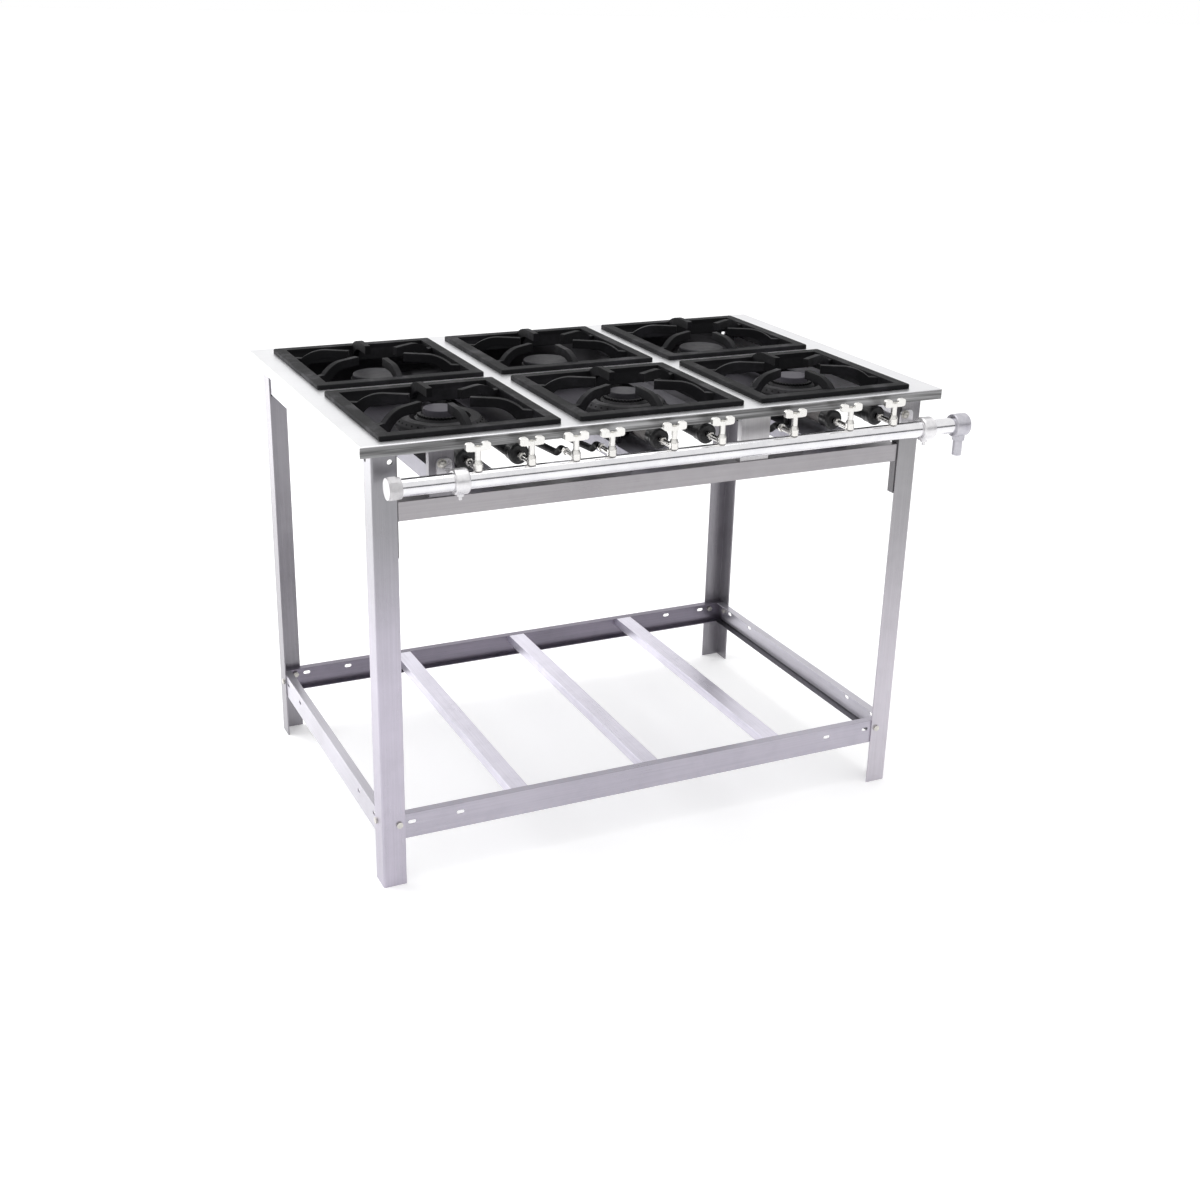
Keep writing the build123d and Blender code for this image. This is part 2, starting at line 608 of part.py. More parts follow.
def make_grate(name, x, y):
    """A cast grate: flat rim, leaning skirt and six arched fingers round an open middle."""
    inner_r = GRATE_SIZE / 2 - RIM_WIDTH
    outer_r = inner_r + SKIRT_WALL
    arch_r = FINGER_TIP_R + FINGER_FLAT
    root_z = RIM_TOP - FINGER_ROOT_DROP
    foot_z = SKIRT_BOTTOM + FINGER_ROOT_DROP
    under_z = POT_LEVEL - FINGER_HEIGHT
    low_r = outer_r - SKIRT_LEAN
    high_r = outer_r + SKIRT_LEAN * (POT_LEVEL - SHEET_TOP) / SKIRT_DEPTH
    with BuildPart() as grate:
        for index in range(FINGER_COUNT):
            turn = 90 + index * 360 / FINGER_COUNT
            radial = Plane(
                origin=(FRAME_X + x, FRAME_Y + y, 0),
                x_dir=Vector(1, 0, 0).rotate(Axis.Z, turn),
                z_dir=Vector(0, -1, 0).rotate(Axis.Z, turn),
            )
            with BuildSketch(radial):
                with BuildLine():
                    top = Line((FINGER_TIP_R, POT_LEVEL), (arch_r, POT_LEVEL))
                    fall = TangentArc((arch_r, POT_LEVEL), (outer_r, root_z), tangent=(1, 0))
                    Polyline(fall @ 1, (2 * inner_r, root_z), (2 * inner_r, foot_z), (inner_r, foot_z))
                    under = TangentArc(
                        (arch_r - FINGER_ROOT_DROP, under_z), (inner_r, foot_z), tangent=(1, 0)
                    )
                    Polyline(under @ 0, (FINGER_TIP_R, under_z), top @ 0)
                make_face()
            extrude(amount=FINGER_WIDTH / 2, both=True)
        for turn in (0, 90, 180, 270):
            wall = Plane(
                origin=(FRAME_X + x, FRAME_Y + y, 0),
                x_dir=Vector(1, 0, 0).rotate(Axis.Z, turn),
                z_dir=Vector(0, -1, 0).rotate(Axis.Z, turn),
            )
            with BuildSketch(wall):
                with BuildLine():
                    Polyline(
                        (inner_r, SHEET_TOP),
                        (outer_r, SHEET_TOP),
                        (outer_r - SKIRT_LEAN, SKIRT_BOTTOM),
                        (inner_r - SKIRT_LEAN, SKIRT_BOTTOM),
                        close=True,
                    )
                make_face()
            extrude(amount=outer_r, both=True)
        with BuildSketch(level(SKIRT_BOTTOM, x, y)):
            Rectangle(2 * low_r, 2 * low_r)
        with BuildSketch(level(POT_LEVEL, x, y)):
            Rectangle(2 * high_r, 2 * high_r)
        loft(mode=Mode.INTERSECT)
        with BuildSketch(level(SHEET_TOP, x, y)):
            RectangleRounded(GRATE_SIZE, GRATE_SIZE, RIM_CORNER_R)
            Rectangle(2 * inner_r, 2 * inner_r, mode=Mode.SUBTRACT)
        extrude(amount=RIM_HEIGHT)
        rim_face = grate.faces().filter_by_position(Axis.Z, RIM_TOP - 0.01, RIM_TOP + 0.01)[0]
        fillet(rim_face.outer_wire().edges(), RIM_EDGE_R)
    save(grate, name)


def make_outer_burner(name, x, tube_x):
    """A front burner's outer ring on four feet, with its neck and straight mixing tube."""
    neck_y = FRONT_ROW_Y + RING_NECK_Y
    with BuildPart() as burner:
        with BuildSketch(across(x, FRONT_ROW_Y, 0)):
            with BuildLine():
                Polyline(
                    (RING_BORE_R, RING_BOTTOM),
                    (RING_R, RING_BOTTOM),
                    (RING_R, RING_TOP - RING_BEVEL),
                    (RING_R - RING_BEVEL, RING_TOP),
                    (RING_BORE_R, RING_TOP),
                    close=True,
                )
            make_face()
        revolve(axis=Axis((FRAME_X + x, FRAME_Y + FRONT_ROW_Y, 0), (0, 0, 1)))
        with BuildSketch(level(CHANNEL_TOP, x, FRONT_ROW_Y)):
            with GridLocations(2 * RING_FOOT_X, 2 * RING_FOOT_Y, 2, 2):
                Circle(RING_FOOT_R)
        extrude(amount=RING_BOTTOM - CHANNEL_TOP)
        with BuildSketch(level(OUTLET_Z, tube_x, neck_y)):
            Circle(RING_NECK_R)
        extrude(amount=RING_BOTTOM - OUTLET_Z + 1)
        with BuildSketch(facing(tube_x, neck_y + TUBE_R, OUTLET_Z)):
            Circle(TUBE_R)
        extrude(amount=neck_y + TUBE_R - TUBE_MOUTH_Y)
        with BuildSketch(facing(tube_x, neck_y, OUTLET_Z)):
            Circle(TUBE_BORE_R)
        extrude(amount=neck_y - TUBE_MOUTH_Y, mode=Mode.SUBTRACT)
    save(burner, name)


def make_inner_burner(name, x, valve_x):
    """A front burner's inner head on its stem, with the thin gas tube that feeds it from below."""
    mouth = (FRAME_X + valve_x, FRAME_Y + BELL_MOUTH_Y, OUTLET_Z)
    fall_start = (mouth[0], mouth[1] + THIN_TUBE_RUN, OUTLET_Z)
    fall_end = (mouth[0], fall_start[1] + THIN_TUBE_FALL_RUN, OUTLET_Z - THIN_TUBE_FALL)
    turn = (mouth[0], FRAME_Y + FRONT_ROW_Y, THIN_TUBE_Z)
    goal = (FRAME_X + x, FRAME_Y + FRONT_ROW_Y, THIN_TUBE_Z)
    with BuildPart() as burner:
        with BuildLine() as route:
            FilletPolyline(mouth, fall_start, fall_end, turn, goal, radius=THIN_TUBE_BEND)
        with BuildSketch(facing(valve_x, BELL_MOUTH_Y, OUTLET_Z)):
            Circle(THIN_TUBE_R)
        sweep(path=route.wires()[0])
        with BuildSketch(facing(valve_x, BELL_MOUTH_Y + THIN_TUBE_RUN / 2, OUTLET_Z)):
            Circle(THIN_TUBE_BORE_R)
        extrude(amount=THIN_TUBE_RUN / 2, mode=Mode.SUBTRACT)
        with BuildSketch(across(x, FRONT_ROW_Y, 0)):
            with BuildLine():
                Polyline(
                    (0, CHANNEL_TOP),
                    (HEAD_STEM_R, CHANNEL_TOP),
                    (HEAD_STEM_R, HEAD_BOTTOM - 6),
                    (HEAD_R - HEAD_LIP, HEAD_BOTTOM),
                    (HEAD_R, HEAD_BOTTOM + HEAD_LIP),
                    (HEAD_R, HEAD_TOP - HEAD_LIP),
                    (HEAD_R - HEAD_LIP, HEAD_TOP),
                    (HEAD_BOSS_R + BOSS_GAP, HEAD_TOP),
                    (HEAD_BOSS_R + BOSS_GAP, HEAD_TOP - BOSS_DEPTH - CAP_GAP),
                    (0, HEAD_TOP - BOSS_DEPTH - CAP_GAP),
                    close=True,
                )
            make_face()
        revolve(axis=Axis((FRAME_X + x, FRAME_Y + FRONT_ROW_Y, 0), (0, 0, 1)))
    save(burner, name)


def make_rear_burner(name, x, tube_x):
    """A rear burner's bowl on its stem, with the mixing tube that turns in from the side."""
    start = (FRAME_X + tube_x, FRAME_Y + TUBE_MOUTH_Y, OUTLET_Z)
    turn = (start[0], FRAME_Y + BACK_ROW_Y, OUTLET_Z)
    goal = (FRAME_X + x, FRAME_Y + BACK_ROW_Y, OUTLET_Z)
    with BuildPart() as burner:
        with BuildLine() as route:
            FilletPolyline(start, turn, goal, radius=REAR_TUBE_BEND)
        with BuildSketch(facing(tube_x, TUBE_MOUTH_Y, OUTLET_Z)):
            Circle(TUBE_R)
        sweep(path=route.wires()[0])
        with BuildSketch(facing(tube_x, FRONT_ROW_Y, OUTLET_Z)):
            Circle(TUBE_BORE_R)
        extrude(amount=FRONT_ROW_Y - TUBE_MOUTH_Y, mode=Mode.SUBTRACT)
        with BuildSketch(across(x, BACK_ROW_Y, 0)):
            with BuildLine():
                Polyline(
                    (0, CHANNEL_TOP + SHIELD_WALL),
                    (REAR_STEM_R, CHANNEL_TOP + SHIELD_WALL),
                    (REAR_STEM_R, REAR_BOWL_BOTTOM),
                    (REAR_BOWL_NECK_R, REAR_BOWL_BOTTOM),
                    (REAR_BOWL_R, REAR_BOWL_TOP - BOSS_DEPTH),
                    (REAR_BOWL_R, REAR_BOWL_TOP),
                    (0, REAR_BOWL_TOP),
                    close=True,
                )
            make_face()
        revolve(axis=Axis((FRAME_X + x, FRAME_Y + BACK_ROW_Y, 0), (0, 0, 1)))
        with BuildSketch(level(REAR_BOWL_TOP, x, BACK_ROW_Y)):
            Circle(REAR_BOSS_R + BOSS_GAP)
        extrude(amount=-BOSS_DEPTH - CAP_GAP, mode=Mode.SUBTRACT)
    save(burner, name)


def make_burner_cap(name, x, y, seat_z, sizes):
    """A loose burner cap: a flat cone with a rounded edge and a boss that drops into the burner."""
    cap_r, height, taper, edge_r, boss_r = sizes
    with BuildPart() as cap:
        with BuildSketch(level(seat_z + CAP_GAP, x, y)):
            Circle(cap_r)
        with BuildSketch(level(seat_z + CAP_GAP + height, x, y)):
            Circle(cap_r - taper)
        loft()
        fillet(cap.faces().sort_by(Axis.Z)[-1].edges(), edge_r)
        with BuildSketch(level(seat_z + CAP_GAP, x, y)):
            Circle(boss_r)
        extrude(amount=-BOSS_DEPTH)
    save(cap, name)


def make_channels():
    """The three inverted channels that carry the burners, from front shelf to rear flange."""
    back_y = LEG_INSIDE_Y - FOLD_WALL - SEAT_GAP
    length = back_y - CHANNEL_FRONT
    rear_step = REAR_APRON_BOTTOM + FOLD_WALL - FRONT_APRON_TOP
    half = CHANNEL_WIDTH / 2
    step_y = LEG_INSIDE_Y - FOLD_WALL - APRON_FLANGE - SEAT_GAP
    with BuildPart() as channels:
        for x in COLUMNS:
            with BuildSketch(facing(x, back_y, FRONT_APRON_TOP)):
                with BuildLine():
                    Polyline(
                        (-half, 0),
                        (-half, CHANNEL_RISE),
                        (half, CHANNEL_RISE),
                        (half, 0),
                        (half - FOLD_WALL, 0),
                        (half - FOLD_WALL, CHANNEL_RISE - FOLD_WALL),
                        (-half + FOLD_WALL, CHANNEL_RISE - FOLD_WALL),
                        (-half + FOLD_WALL, 0),
                        close=True,
                    )
                make_face()
            extrude(amount=length)
        with BuildSketch(level(FRONT_APRON_TOP, COLUMN_SHIFT, (step_y + back_y) / 2)):
            Rectangle(2 * COLUMN_PITCH + CHANNEL_WIDTH, back_y - step_y)
        extrude(amount=rear_step, mode=Mode.SUBTRACT)
    save(channels, "burner_channels")


def make_shields():
    """The three shield plates on the channels, under the rear burners, with both long sides folded down."""
    middle_y = (SHIELD_FRONT + SHIELD_BACK) / 2
    depth = SHIELD_BACK - SHIELD_FRONT
    with BuildPart() as shields:
        with BuildSketch(level(CHANNEL_TOP - SHIELD_SKIRT, 0, middle_y)):
            with Locations(*[(x, 0) for x in COLUMNS]):
                Rectangle(SHIELD_WIDTH, depth)
        extrude(amount=SHIELD_SKIRT + SHIELD_WALL)
        with BuildSketch(level(CHANNEL_TOP - SHIELD_SKIRT, 0, middle_y)):
            with Locations(*[(x, 0) for x in COLUMNS]):
                Rectangle(SHIELD_WIDTH - 2 * SHIELD_WALL, depth)
        extrude(amount=SHIELD_SKIRT, mode=Mode.SUBTRACT)
    save(shields, "shield_plates")


def make_gas_pipe():
    """The gas pipe along the front, bored on top for each valve's nipple."""
    with BuildPart() as pipe:
        with BuildSketch(across(PIPE_LEFT, PIPE_Y, PIPE_Z)):
            Circle(PIPE_R)
            Circle(PIPE_R - PIPE_WALL, mode=Mode.SUBTRACT)
        extrude(amount=PIPE_RIGHT - PIPE_LEFT)
        with BuildSketch(level(PIPE_Z, 0, PIPE_Y)):
            with Locations(*[(x, 0) for x in ALL_VALVES]):
                Circle(NIPPLE_R + NIPPLE_GAP)
        extrude(amount=PIPE_R + 1, mode=Mode.SUBTRACT)
    save(pipe, "gas_pipe")


def make_end_cap():
    """The cast cap that closes the pipe's left end: an eight-sided head and a round collar."""
    left = PIPE_LEFT + CAP_SOCKET - CAP_LENGTH
    with BuildPart() as cap:
        with BuildSketch(across(left, PIPE_Y, PIPE_Z)):
            RegularPolygon(CAP_R, 8)
        extrude(amount=CAP_LENGTH - CAP_COLLAR)
        chamfer(cap.faces().sort_by(Axis.X)[0].edges(), CAP_BEVEL)
        with BuildSketch(across(left, PIPE_Y, PIPE_Z)):
            Circle(CAP_COLLAR_R)
        extrude(amount=CAP_LENGTH)
        with BuildSketch(across(PIPE_LEFT, PIPE_Y, PIPE_Z)):
            Circle(PIPE_R + FITTING_GAP)
        extrude(amount=CAP_LENGTH, mode=Mode.SUBTRACT)
    save(cap, "pipe_end_cap")


def make_inlet():
    """The cast inlet at the pipe's right end, with the hose nozzle pointing down."""
    left = PIPE_RIGHT - INLET_SOCKET
    with BuildPart() as inlet:
        with BuildSketch(across(left, PIPE_Y, PIPE_Z)):
            Circle(INLET_R)
        extrude(amount=INLET_LENGTH)
        fillet(inlet.edges().filter_by(GeomType.CIRCLE), INLET_EDGE_R)
        with BuildSketch(level(NOZZLE_END_Z + NOZZLE_LENGTH, NOZZLE_X, PIPE_Y)):
            RegularPolygon(NOZZLE_NUT_R, 6)
        extrude(amount=NOZZLE_DROP - NOZZLE_LENGTH)
        with BuildSketch(level(NOZZLE_END_Z, NOZZLE_X, PIPE_Y)):
            Circle(NOZZLE_R)
        extrude(amount=NOZZLE_DROP)
        chamfer(inlet.faces().sort_by(Axis.Z)[0].edges(), NOZZLE_EDGE)
        with BuildSketch(across(left, PIPE_Y, PIPE_Z)):
            Circle(PIPE_R + FITTING_GAP)
        extrude(amount=INLET_SOCKET, mode=Mode.SUBTRACT)
        with BuildSketch(across(left, PIPE_Y, PIPE_Z)):
            Circle(INLET_CHAMBER_R)
        extrude(amount=INLET_LENGTH - INLET_END_WALL, mode=Mode.SUBTRACT)
        with BuildSketch(level(NOZZLE_END_Z, NOZZLE_X, PIPE_Y)):
            Circle(NOZZLE_BORE_R)
        extrude(amount=NOZZLE_DROP, mode=Mode.SUBTRACT)
    save(inlet, "gas_inlet")


def make_clamp(name, x, seat_y):
    """A ring clamp with a set screw below, an arm to the back and a foot with a bolt hole."""
    foot_left = -CLAMP_BOLT_OFFSET - DOME_BASE_R - 1
    foot_right = CLAMP_ARM_WIDTH / 2
    boss_z = PIPE_Z - CLAMP_R - CLAMP_BOSS_DROP
    arm_z = PIPE_Z - CLAMP_ARM_DROP - CLAMP_ARM_HEIGHT / 2
    with BuildPart() as clamp:
        with BuildSketch(across(x - CLAMP_WIDTH / 2, PIPE_Y, PIPE_Z)):
            Circle(CLAMP_R)
        extrude(amount=CLAMP_WIDTH)
        fillet(clamp.edges().filter_by(GeomType.CIRCLE), CLAMP_EDGE_R)
        with BuildSketch(level(arm_z, x, (PIPE_Y + seat_y) / 2)):
            Rectangle(CLAMP_ARM_WIDTH, seat_y - PIPE_Y)
        extrude(amount=CLAMP_ARM_HEIGHT)
        with BuildSketch(facing(x, seat_y, CLAMP_BOLT_Z)):
            with Locations(((foot_left + foot_right) / 2, -CLAMP_FOOT_HEIGHT / 4)):
                RectangleRounded(foot_right - foot_left, CLAMP_FOOT_HEIGHT, CLAMP_FOOT_R)
        extrude(amount=CLAMP_FOOT_WALL)
        with BuildSketch(level(boss_z, x, PIPE_Y)):
            Circle(CLAMP_BOSS_R)
        extrude(amount=PIPE_Z - boss_z)
        with BuildSketch(level(PIPE_Z - CLAMP_R - CLAMP_SCREW_DROP, x, PIPE_Y)):
            Circle(CLAMP_SCREW_R)
        extrude(amount=CLAMP_SCREW_DROP)
        with BuildSketch(across(x - CLAMP_WIDTH / 2, PIPE_Y, PIPE_Z)):
            Circle(PIPE_R + FITTING_GAP)
        extrude(amount=CLAMP_WIDTH, mode=Mode.SUBTRACT)
        with BuildSketch(facing(x - CLAMP_BOLT_OFFSET, seat_y, CLAMP_BOLT_Z)):
            Circle(CLAMP_BOLT_R + BOLT_HOLE_GAP)
        extrude(amount=2 * CLAMP_FOOT_WALL, both=True, mode=Mode.SUBTRACT)
    save(clamp, name)


def make_dome_nuts(seats):
    """The domed bolts that hold the clamp feet, as one group."""
    base_y = -DOME_BASE_HEIGHT
    with BuildPart() as nuts:
        for x, seat_y in seats:
            bolt_x = x - CLAMP_BOLT_OFFSET
            foot_y = seat_y - CLAMP_FOOT_WALL
            with BuildSketch(across(bolt_x, foot_y, CLAMP_BOLT_Z)):
                with BuildLine():
                    Polyline((0, 0), (0, DOME_BASE_R), (base_y, DOME_BASE_R), (base_y, DOME_R))
                    TangentArc((base_y, DOME_R), (base_y - DOME_R, 0), tangent=(-1, 0))
                    Line((base_y - DOME_R, 0), (0, 0))
                make_face()
            revolve(axis=Axis((FRAME_X + bolt_x, FRAME_Y + foot_y, CLAMP_BOLT_Z), (0, 1, 0)))
            with BuildSketch(facing(bolt_x, foot_y, CLAMP_BOLT_Z)):
                Circle(CLAMP_BOLT_R)
            extrude(amount=-(CLAMP_FOOT_WALL + BRACKET_WALL + LEG_WALL))
    save(nuts, "dome_nuts")


def make_frame_bolts():
    """The eight bolts that hold the shelf rails to the legs, each with its nut, as one group."""
    head_y = LEG_HALF_DEPTH
    grip = LEG_WALL + FOLD_WALL
    length = BOLT_HEAD_HEIGHT + grip + BOLT_NUT_HEIGHT + 1
    with BuildPart() as bolts:
        for side in (-1, 1):
            for end in (-1, 1):
                x = side * (LEG_HALF_WIDTH - LEG_BOLT_INSET)
                y = end * (LEG_HALF_DEPTH - LEG_BOLT_INSET)
                long_face = facing(x, end * head_y, RAIL_BOLT_Z)
                side_face = across(side * LEG_HALF_WIDTH, y, RAIL_BOLT_Z)
                for face, out in ((long_face, -end), (side_face, side)):
                    with BuildSketch(face):
                        Circle(BOLT_HEAD_R)
                    extrude(amount=out * BOLT_HEAD_HEIGHT)
                    with BuildSketch(face):
                        Circle(BOLT_R)
                    extrude(amount=-out * (length - BOLT_HEAD_HEIGHT))
                    with BuildSketch(face.offset(-out * grip)):
                        RegularPolygon(BOLT_NUT_R, 6)
                    extrude(amount=-out * BOLT_NUT_HEIGHT)
    save(bolts, "frame_bolts")


def make_air_bells():
    """The black air bells on the mouths of the six mixing tubes, as one group."""
    neck_r = TUBE_R + FITTING_GAP
    lead = BELL_LENGTH - BELL_NECK
    with BuildPart() as bells:
        for x in OUTER_VALVES + REAR_VALVES:
            with BuildSketch(level(OUTLET_Z, x, BELL_MOUTH_Y)):
                with BuildLine():
                    Polyline(
                        (BELL_HOLE_R, 0),
                        (BELL_R - BELL_BEVEL, 0),
                        (BELL_R, BELL_BEVEL),
                        (BELL_R, lead / 2),
                        (neck_r + BELL_WALL, lead),
                        (neck_r + BELL_WALL, BELL_LENGTH),
                        (neck_r, BELL_LENGTH),
                        (neck_r, lead),
                        (BELL_R - BELL_WALL, lead / 2),
                        (BELL_R - BELL_WALL, BELL_BEVEL),
                        (BELL_R - BELL_BEVEL, BELL_WALL),
                        (BELL_HOLE_R, BELL_WALL),
                        close=True,
                    )
                make_face()
            revolve(axis=Axis((FRAME_X + x, FRAME_Y, OUTLET_Z), (0, 1, 0)))
    save(bells, "air_bells")


def make_valve_bodies():
    """The nine angle valves screwed into the pipe, each with its outlet nut and injector, as one group."""
    shoulder = VALVE_BODY_HEIGHT + VALVE_NECK_HEIGHT
    nipple_end = -PIPE_WALL
    with BuildPart() as valves:
        for x in ALL_VALVES:
            with BuildSketch(level(OUTLET_Z, x, PIPE_Y)):
                with BuildLine():
                    Polyline(
                        (0, 0),
                        (OUTLET_R, 0),
                        (OUTLET_R, OUTLET_LENGTH),
                        (INJECTOR_R, OUTLET_LENGTH),
                        (INJECTOR_R, INJECTOR_REACH - 2 * INJECTOR_R),
                        (INJECTOR_TIP_R, INJECTOR_REACH),
                        (0, INJECTOR_REACH),
                        close=True,
                    )
                make_face()
            revolve(axis=Axis((FRAME_X + x, FRAME_Y, OUTLET_Z), (0, 1, 0)))
            with BuildSketch(facing(x, PIPE_Y + OUTLET_LENGTH + OUTLET_NUT_LENGTH, OUTLET_Z)):
                RegularPolygon(OUTLET_NUT_R, 6)
            extrude(amount=OUTLET_NUT_LENGTH)
        with BuildSketch(across(PIPE_LEFT, PIPE_Y, PIPE_Z)):
            Circle(PIPE_R + OUTLET_GAP)
        extrude(amount=PIPE_RIGHT - PIPE_LEFT, mode=Mode.SUBTRACT)
        for x in ALL_VALVES:
            with BuildSketch(across(x, PIPE_Y, PIPE_TOP + NIPPLE_GAP)):
                with BuildLine():
                    Polyline(
                        (0, nipple_end),
                        (NIPPLE_R, nipple_end),
                        (NIPPLE_R, 0),
                        (VALVE_BODY_R, 0),
                        (VALVE_BODY_R, VALVE_BODY_HEIGHT),
                        (VALVE_NECK_R, shoulder),
                        (SPINDLE_R, shoulder),
                        (SPINDLE_R, shoulder + SPINDLE_LENGTH),
                        (0, shoulder + SPINDLE_LENGTH),
                        close=True,
                    )
                make_face()
            revolve(axis=Axis((FRAME_X + x, FRAME_Y + PIPE_Y, 0), (0, 0, 1)))
    save(valves, "valve_bodies")


def make_valve_handle(name, x):
    """A quarter-turn handle: a hub on the spindle and two rounded wings along a short bar."""
    bottom = PIPE_TOP + NIPPLE_GAP + VALVE_BODY_HEIGHT + VALVE_NECK_HEIGHT + HANDLE_GAP
    bar_z = bottom + HANDLE_HUB_HEIGHT - HANDLE_BAR / 2
    wing_x = HANDLE_HALF_SPAN - HANDLE_WING / 2
    with BuildPart() as handle:
        with BuildSketch(level(bottom, x, PIPE_Y)):
            Circle(HANDLE_HUB_R)
        extrude(amount=HANDLE_HUB_HEIGHT)
        with BuildSketch(facing(x, PIPE_Y, bar_z)):
            Rectangle(2 * wing_x, HANDLE_BAR)
            with Locations((-wing_x, HANDLE_BAR / 2), (wing_x, HANDLE_BAR / 2)):
                RectangleRounded(HANDLE_WING, HANDLE_WING_HEIGHT, HANDLE_WING_R)
        extrude(amount=HANDLE_THICKNESS / 2, both=True)
        with BuildSketch(level(bottom, x, PIPE_Y)):
            Circle(SPINDLE_R + SPINDLE_GAP)
        extrude(amount=SPINDLE_LENGTH, mode=Mode.SUBTRACT)
    save(handle, name)


def build_all():
    """Build every piece of the stove and write it to the parts folder."""
    os.makedirs("parts", exist_ok=True)
    make_top_sheet()
    for end_name, end in (("front", -1), ("rear", 1)):
        for side_name, side in (("left", -1), ("right", 1)):
            make_leg(f"leg_{end_name}_{side_name}", side, end, side > 0 > end)
        make_long_rail(f"shelf_rail_{end_name}", end)
    make_front_apron()
    make_rear_apron()
    for side_name, side in (("left", -1), ("right", 1)):
        make_side_apron(f"side_apron_{side_name}", side)
        make_corner_bracket(f"corner_bracket_{side_name}", side, side > 0)
        make_side_rail(f"shelf_rail_{side_name}", side)
    make_upright_plate("upright_plate_left", LEFT_PLATE_X, LEFT_PLATE_WIDTH, True)
    make_upright_plate("upright_plate_middle", MIDDLE_PLATE_X, MIDDLE_PLATE_WIDTH, False)
    make_slats()
    inner_sizes = (INNER_CAP_R, INNER_CAP_HEIGHT, INNER_CAP_TAPER, INNER_CAP_EDGE_R, HEAD_BOSS_R)
    rear_sizes = (REAR_CAP_R, REAR_CAP_HEIGHT, REAR_CAP_TAPER, REAR_CAP_EDGE_R, REAR_BOSS_R)
    for name, x, outer_x, rear_x, inner_x in zip(
        SIDE_NAMES, COLUMNS, OUTER_VALVES, REAR_VALVES, INNER_VALVES
    ):
        make_grate(f"grate_front_{name}", x, FRONT_ROW_Y)
        make_grate(f"grate_rear_{name}", x, BACK_ROW_Y)
        make_outer_burner(f"outer_burner_{name}", x, outer_x)
        make_inner_burner(f"inner_burner_{name}", x, inner_x)
        make_rear_burner(f"rear_burner_{name}", x, rear_x)
        make_burner_cap(f"inner_cap_{name}", x, FRONT_ROW_Y, HEAD_TOP, inner_sizes)
        make_burner_cap(f"rear_cap_{name}", x, BACK_ROW_Y, REAR_BOWL_TOP, rear_sizes)
    make_channels()
    make_shields()
    make_gas_pipe()
    make_end_cap()
    make_inlet()
    plate_y = -LEG_INSIDE_Y + PLATE_SETBACK
    make_clamp("pipe_clamp_left", LEFT_CLAMP_X, plate_y)
    make_clamp("pipe_clamp_right", RIGHT_CLAMP_X, -LEG_HALF_DEPTH)
    make_dome_nuts([(LEFT_CLAMP_X, plate_y), (RIGHT_CLAMP_X, -LEG_HALF_DEPTH)])
    make_frame_bolts()
    make_air_bells()
    make_valve_bodies()
    for number, x in enumerate(ALL_VALVES, start=1):
        make_valve_handle(f"valve_handle_{number}", x)


build_all()
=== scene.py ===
"""Looks of the industrial gas stove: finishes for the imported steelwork, castings, pipe and burners."""

import logging
import math
from dataclasses import dataclass, field
from enum import Enum
from typing import Any, Callable, Mapping, Optional, Sequence

import bmesh
import bpy
from mathutils import Matrix, Vector

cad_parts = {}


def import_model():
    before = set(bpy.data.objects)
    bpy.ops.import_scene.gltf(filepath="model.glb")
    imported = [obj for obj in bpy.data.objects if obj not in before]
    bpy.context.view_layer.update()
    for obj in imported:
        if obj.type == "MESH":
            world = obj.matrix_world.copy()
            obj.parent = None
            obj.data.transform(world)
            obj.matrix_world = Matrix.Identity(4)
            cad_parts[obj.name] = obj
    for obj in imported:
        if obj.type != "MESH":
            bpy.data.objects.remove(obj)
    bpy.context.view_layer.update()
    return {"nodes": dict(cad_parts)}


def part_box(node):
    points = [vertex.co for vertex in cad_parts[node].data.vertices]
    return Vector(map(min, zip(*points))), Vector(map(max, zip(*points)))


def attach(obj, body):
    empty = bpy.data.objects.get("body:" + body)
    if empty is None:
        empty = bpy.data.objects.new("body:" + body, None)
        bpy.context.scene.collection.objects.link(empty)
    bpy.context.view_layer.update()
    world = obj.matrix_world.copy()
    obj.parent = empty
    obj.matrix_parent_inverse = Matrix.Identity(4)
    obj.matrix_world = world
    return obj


LOG = logging.getLogger("gas_stove")
Colour = tuple[float, float, float]
FACING = 0.9
FINE_EDGE = 0.0002
EVEN = (1.0, 1.0, 1.0)


class Grain(Enum):
    """The way that a rolled or drawn surface's fine lines run."""

    ALONG_X = (0.012, 1.0, 1.0)
    ALONG_Y = (1.0, 0.012, 1.0)
    ALONG_Z = (1.0, 1.0, 0.012)


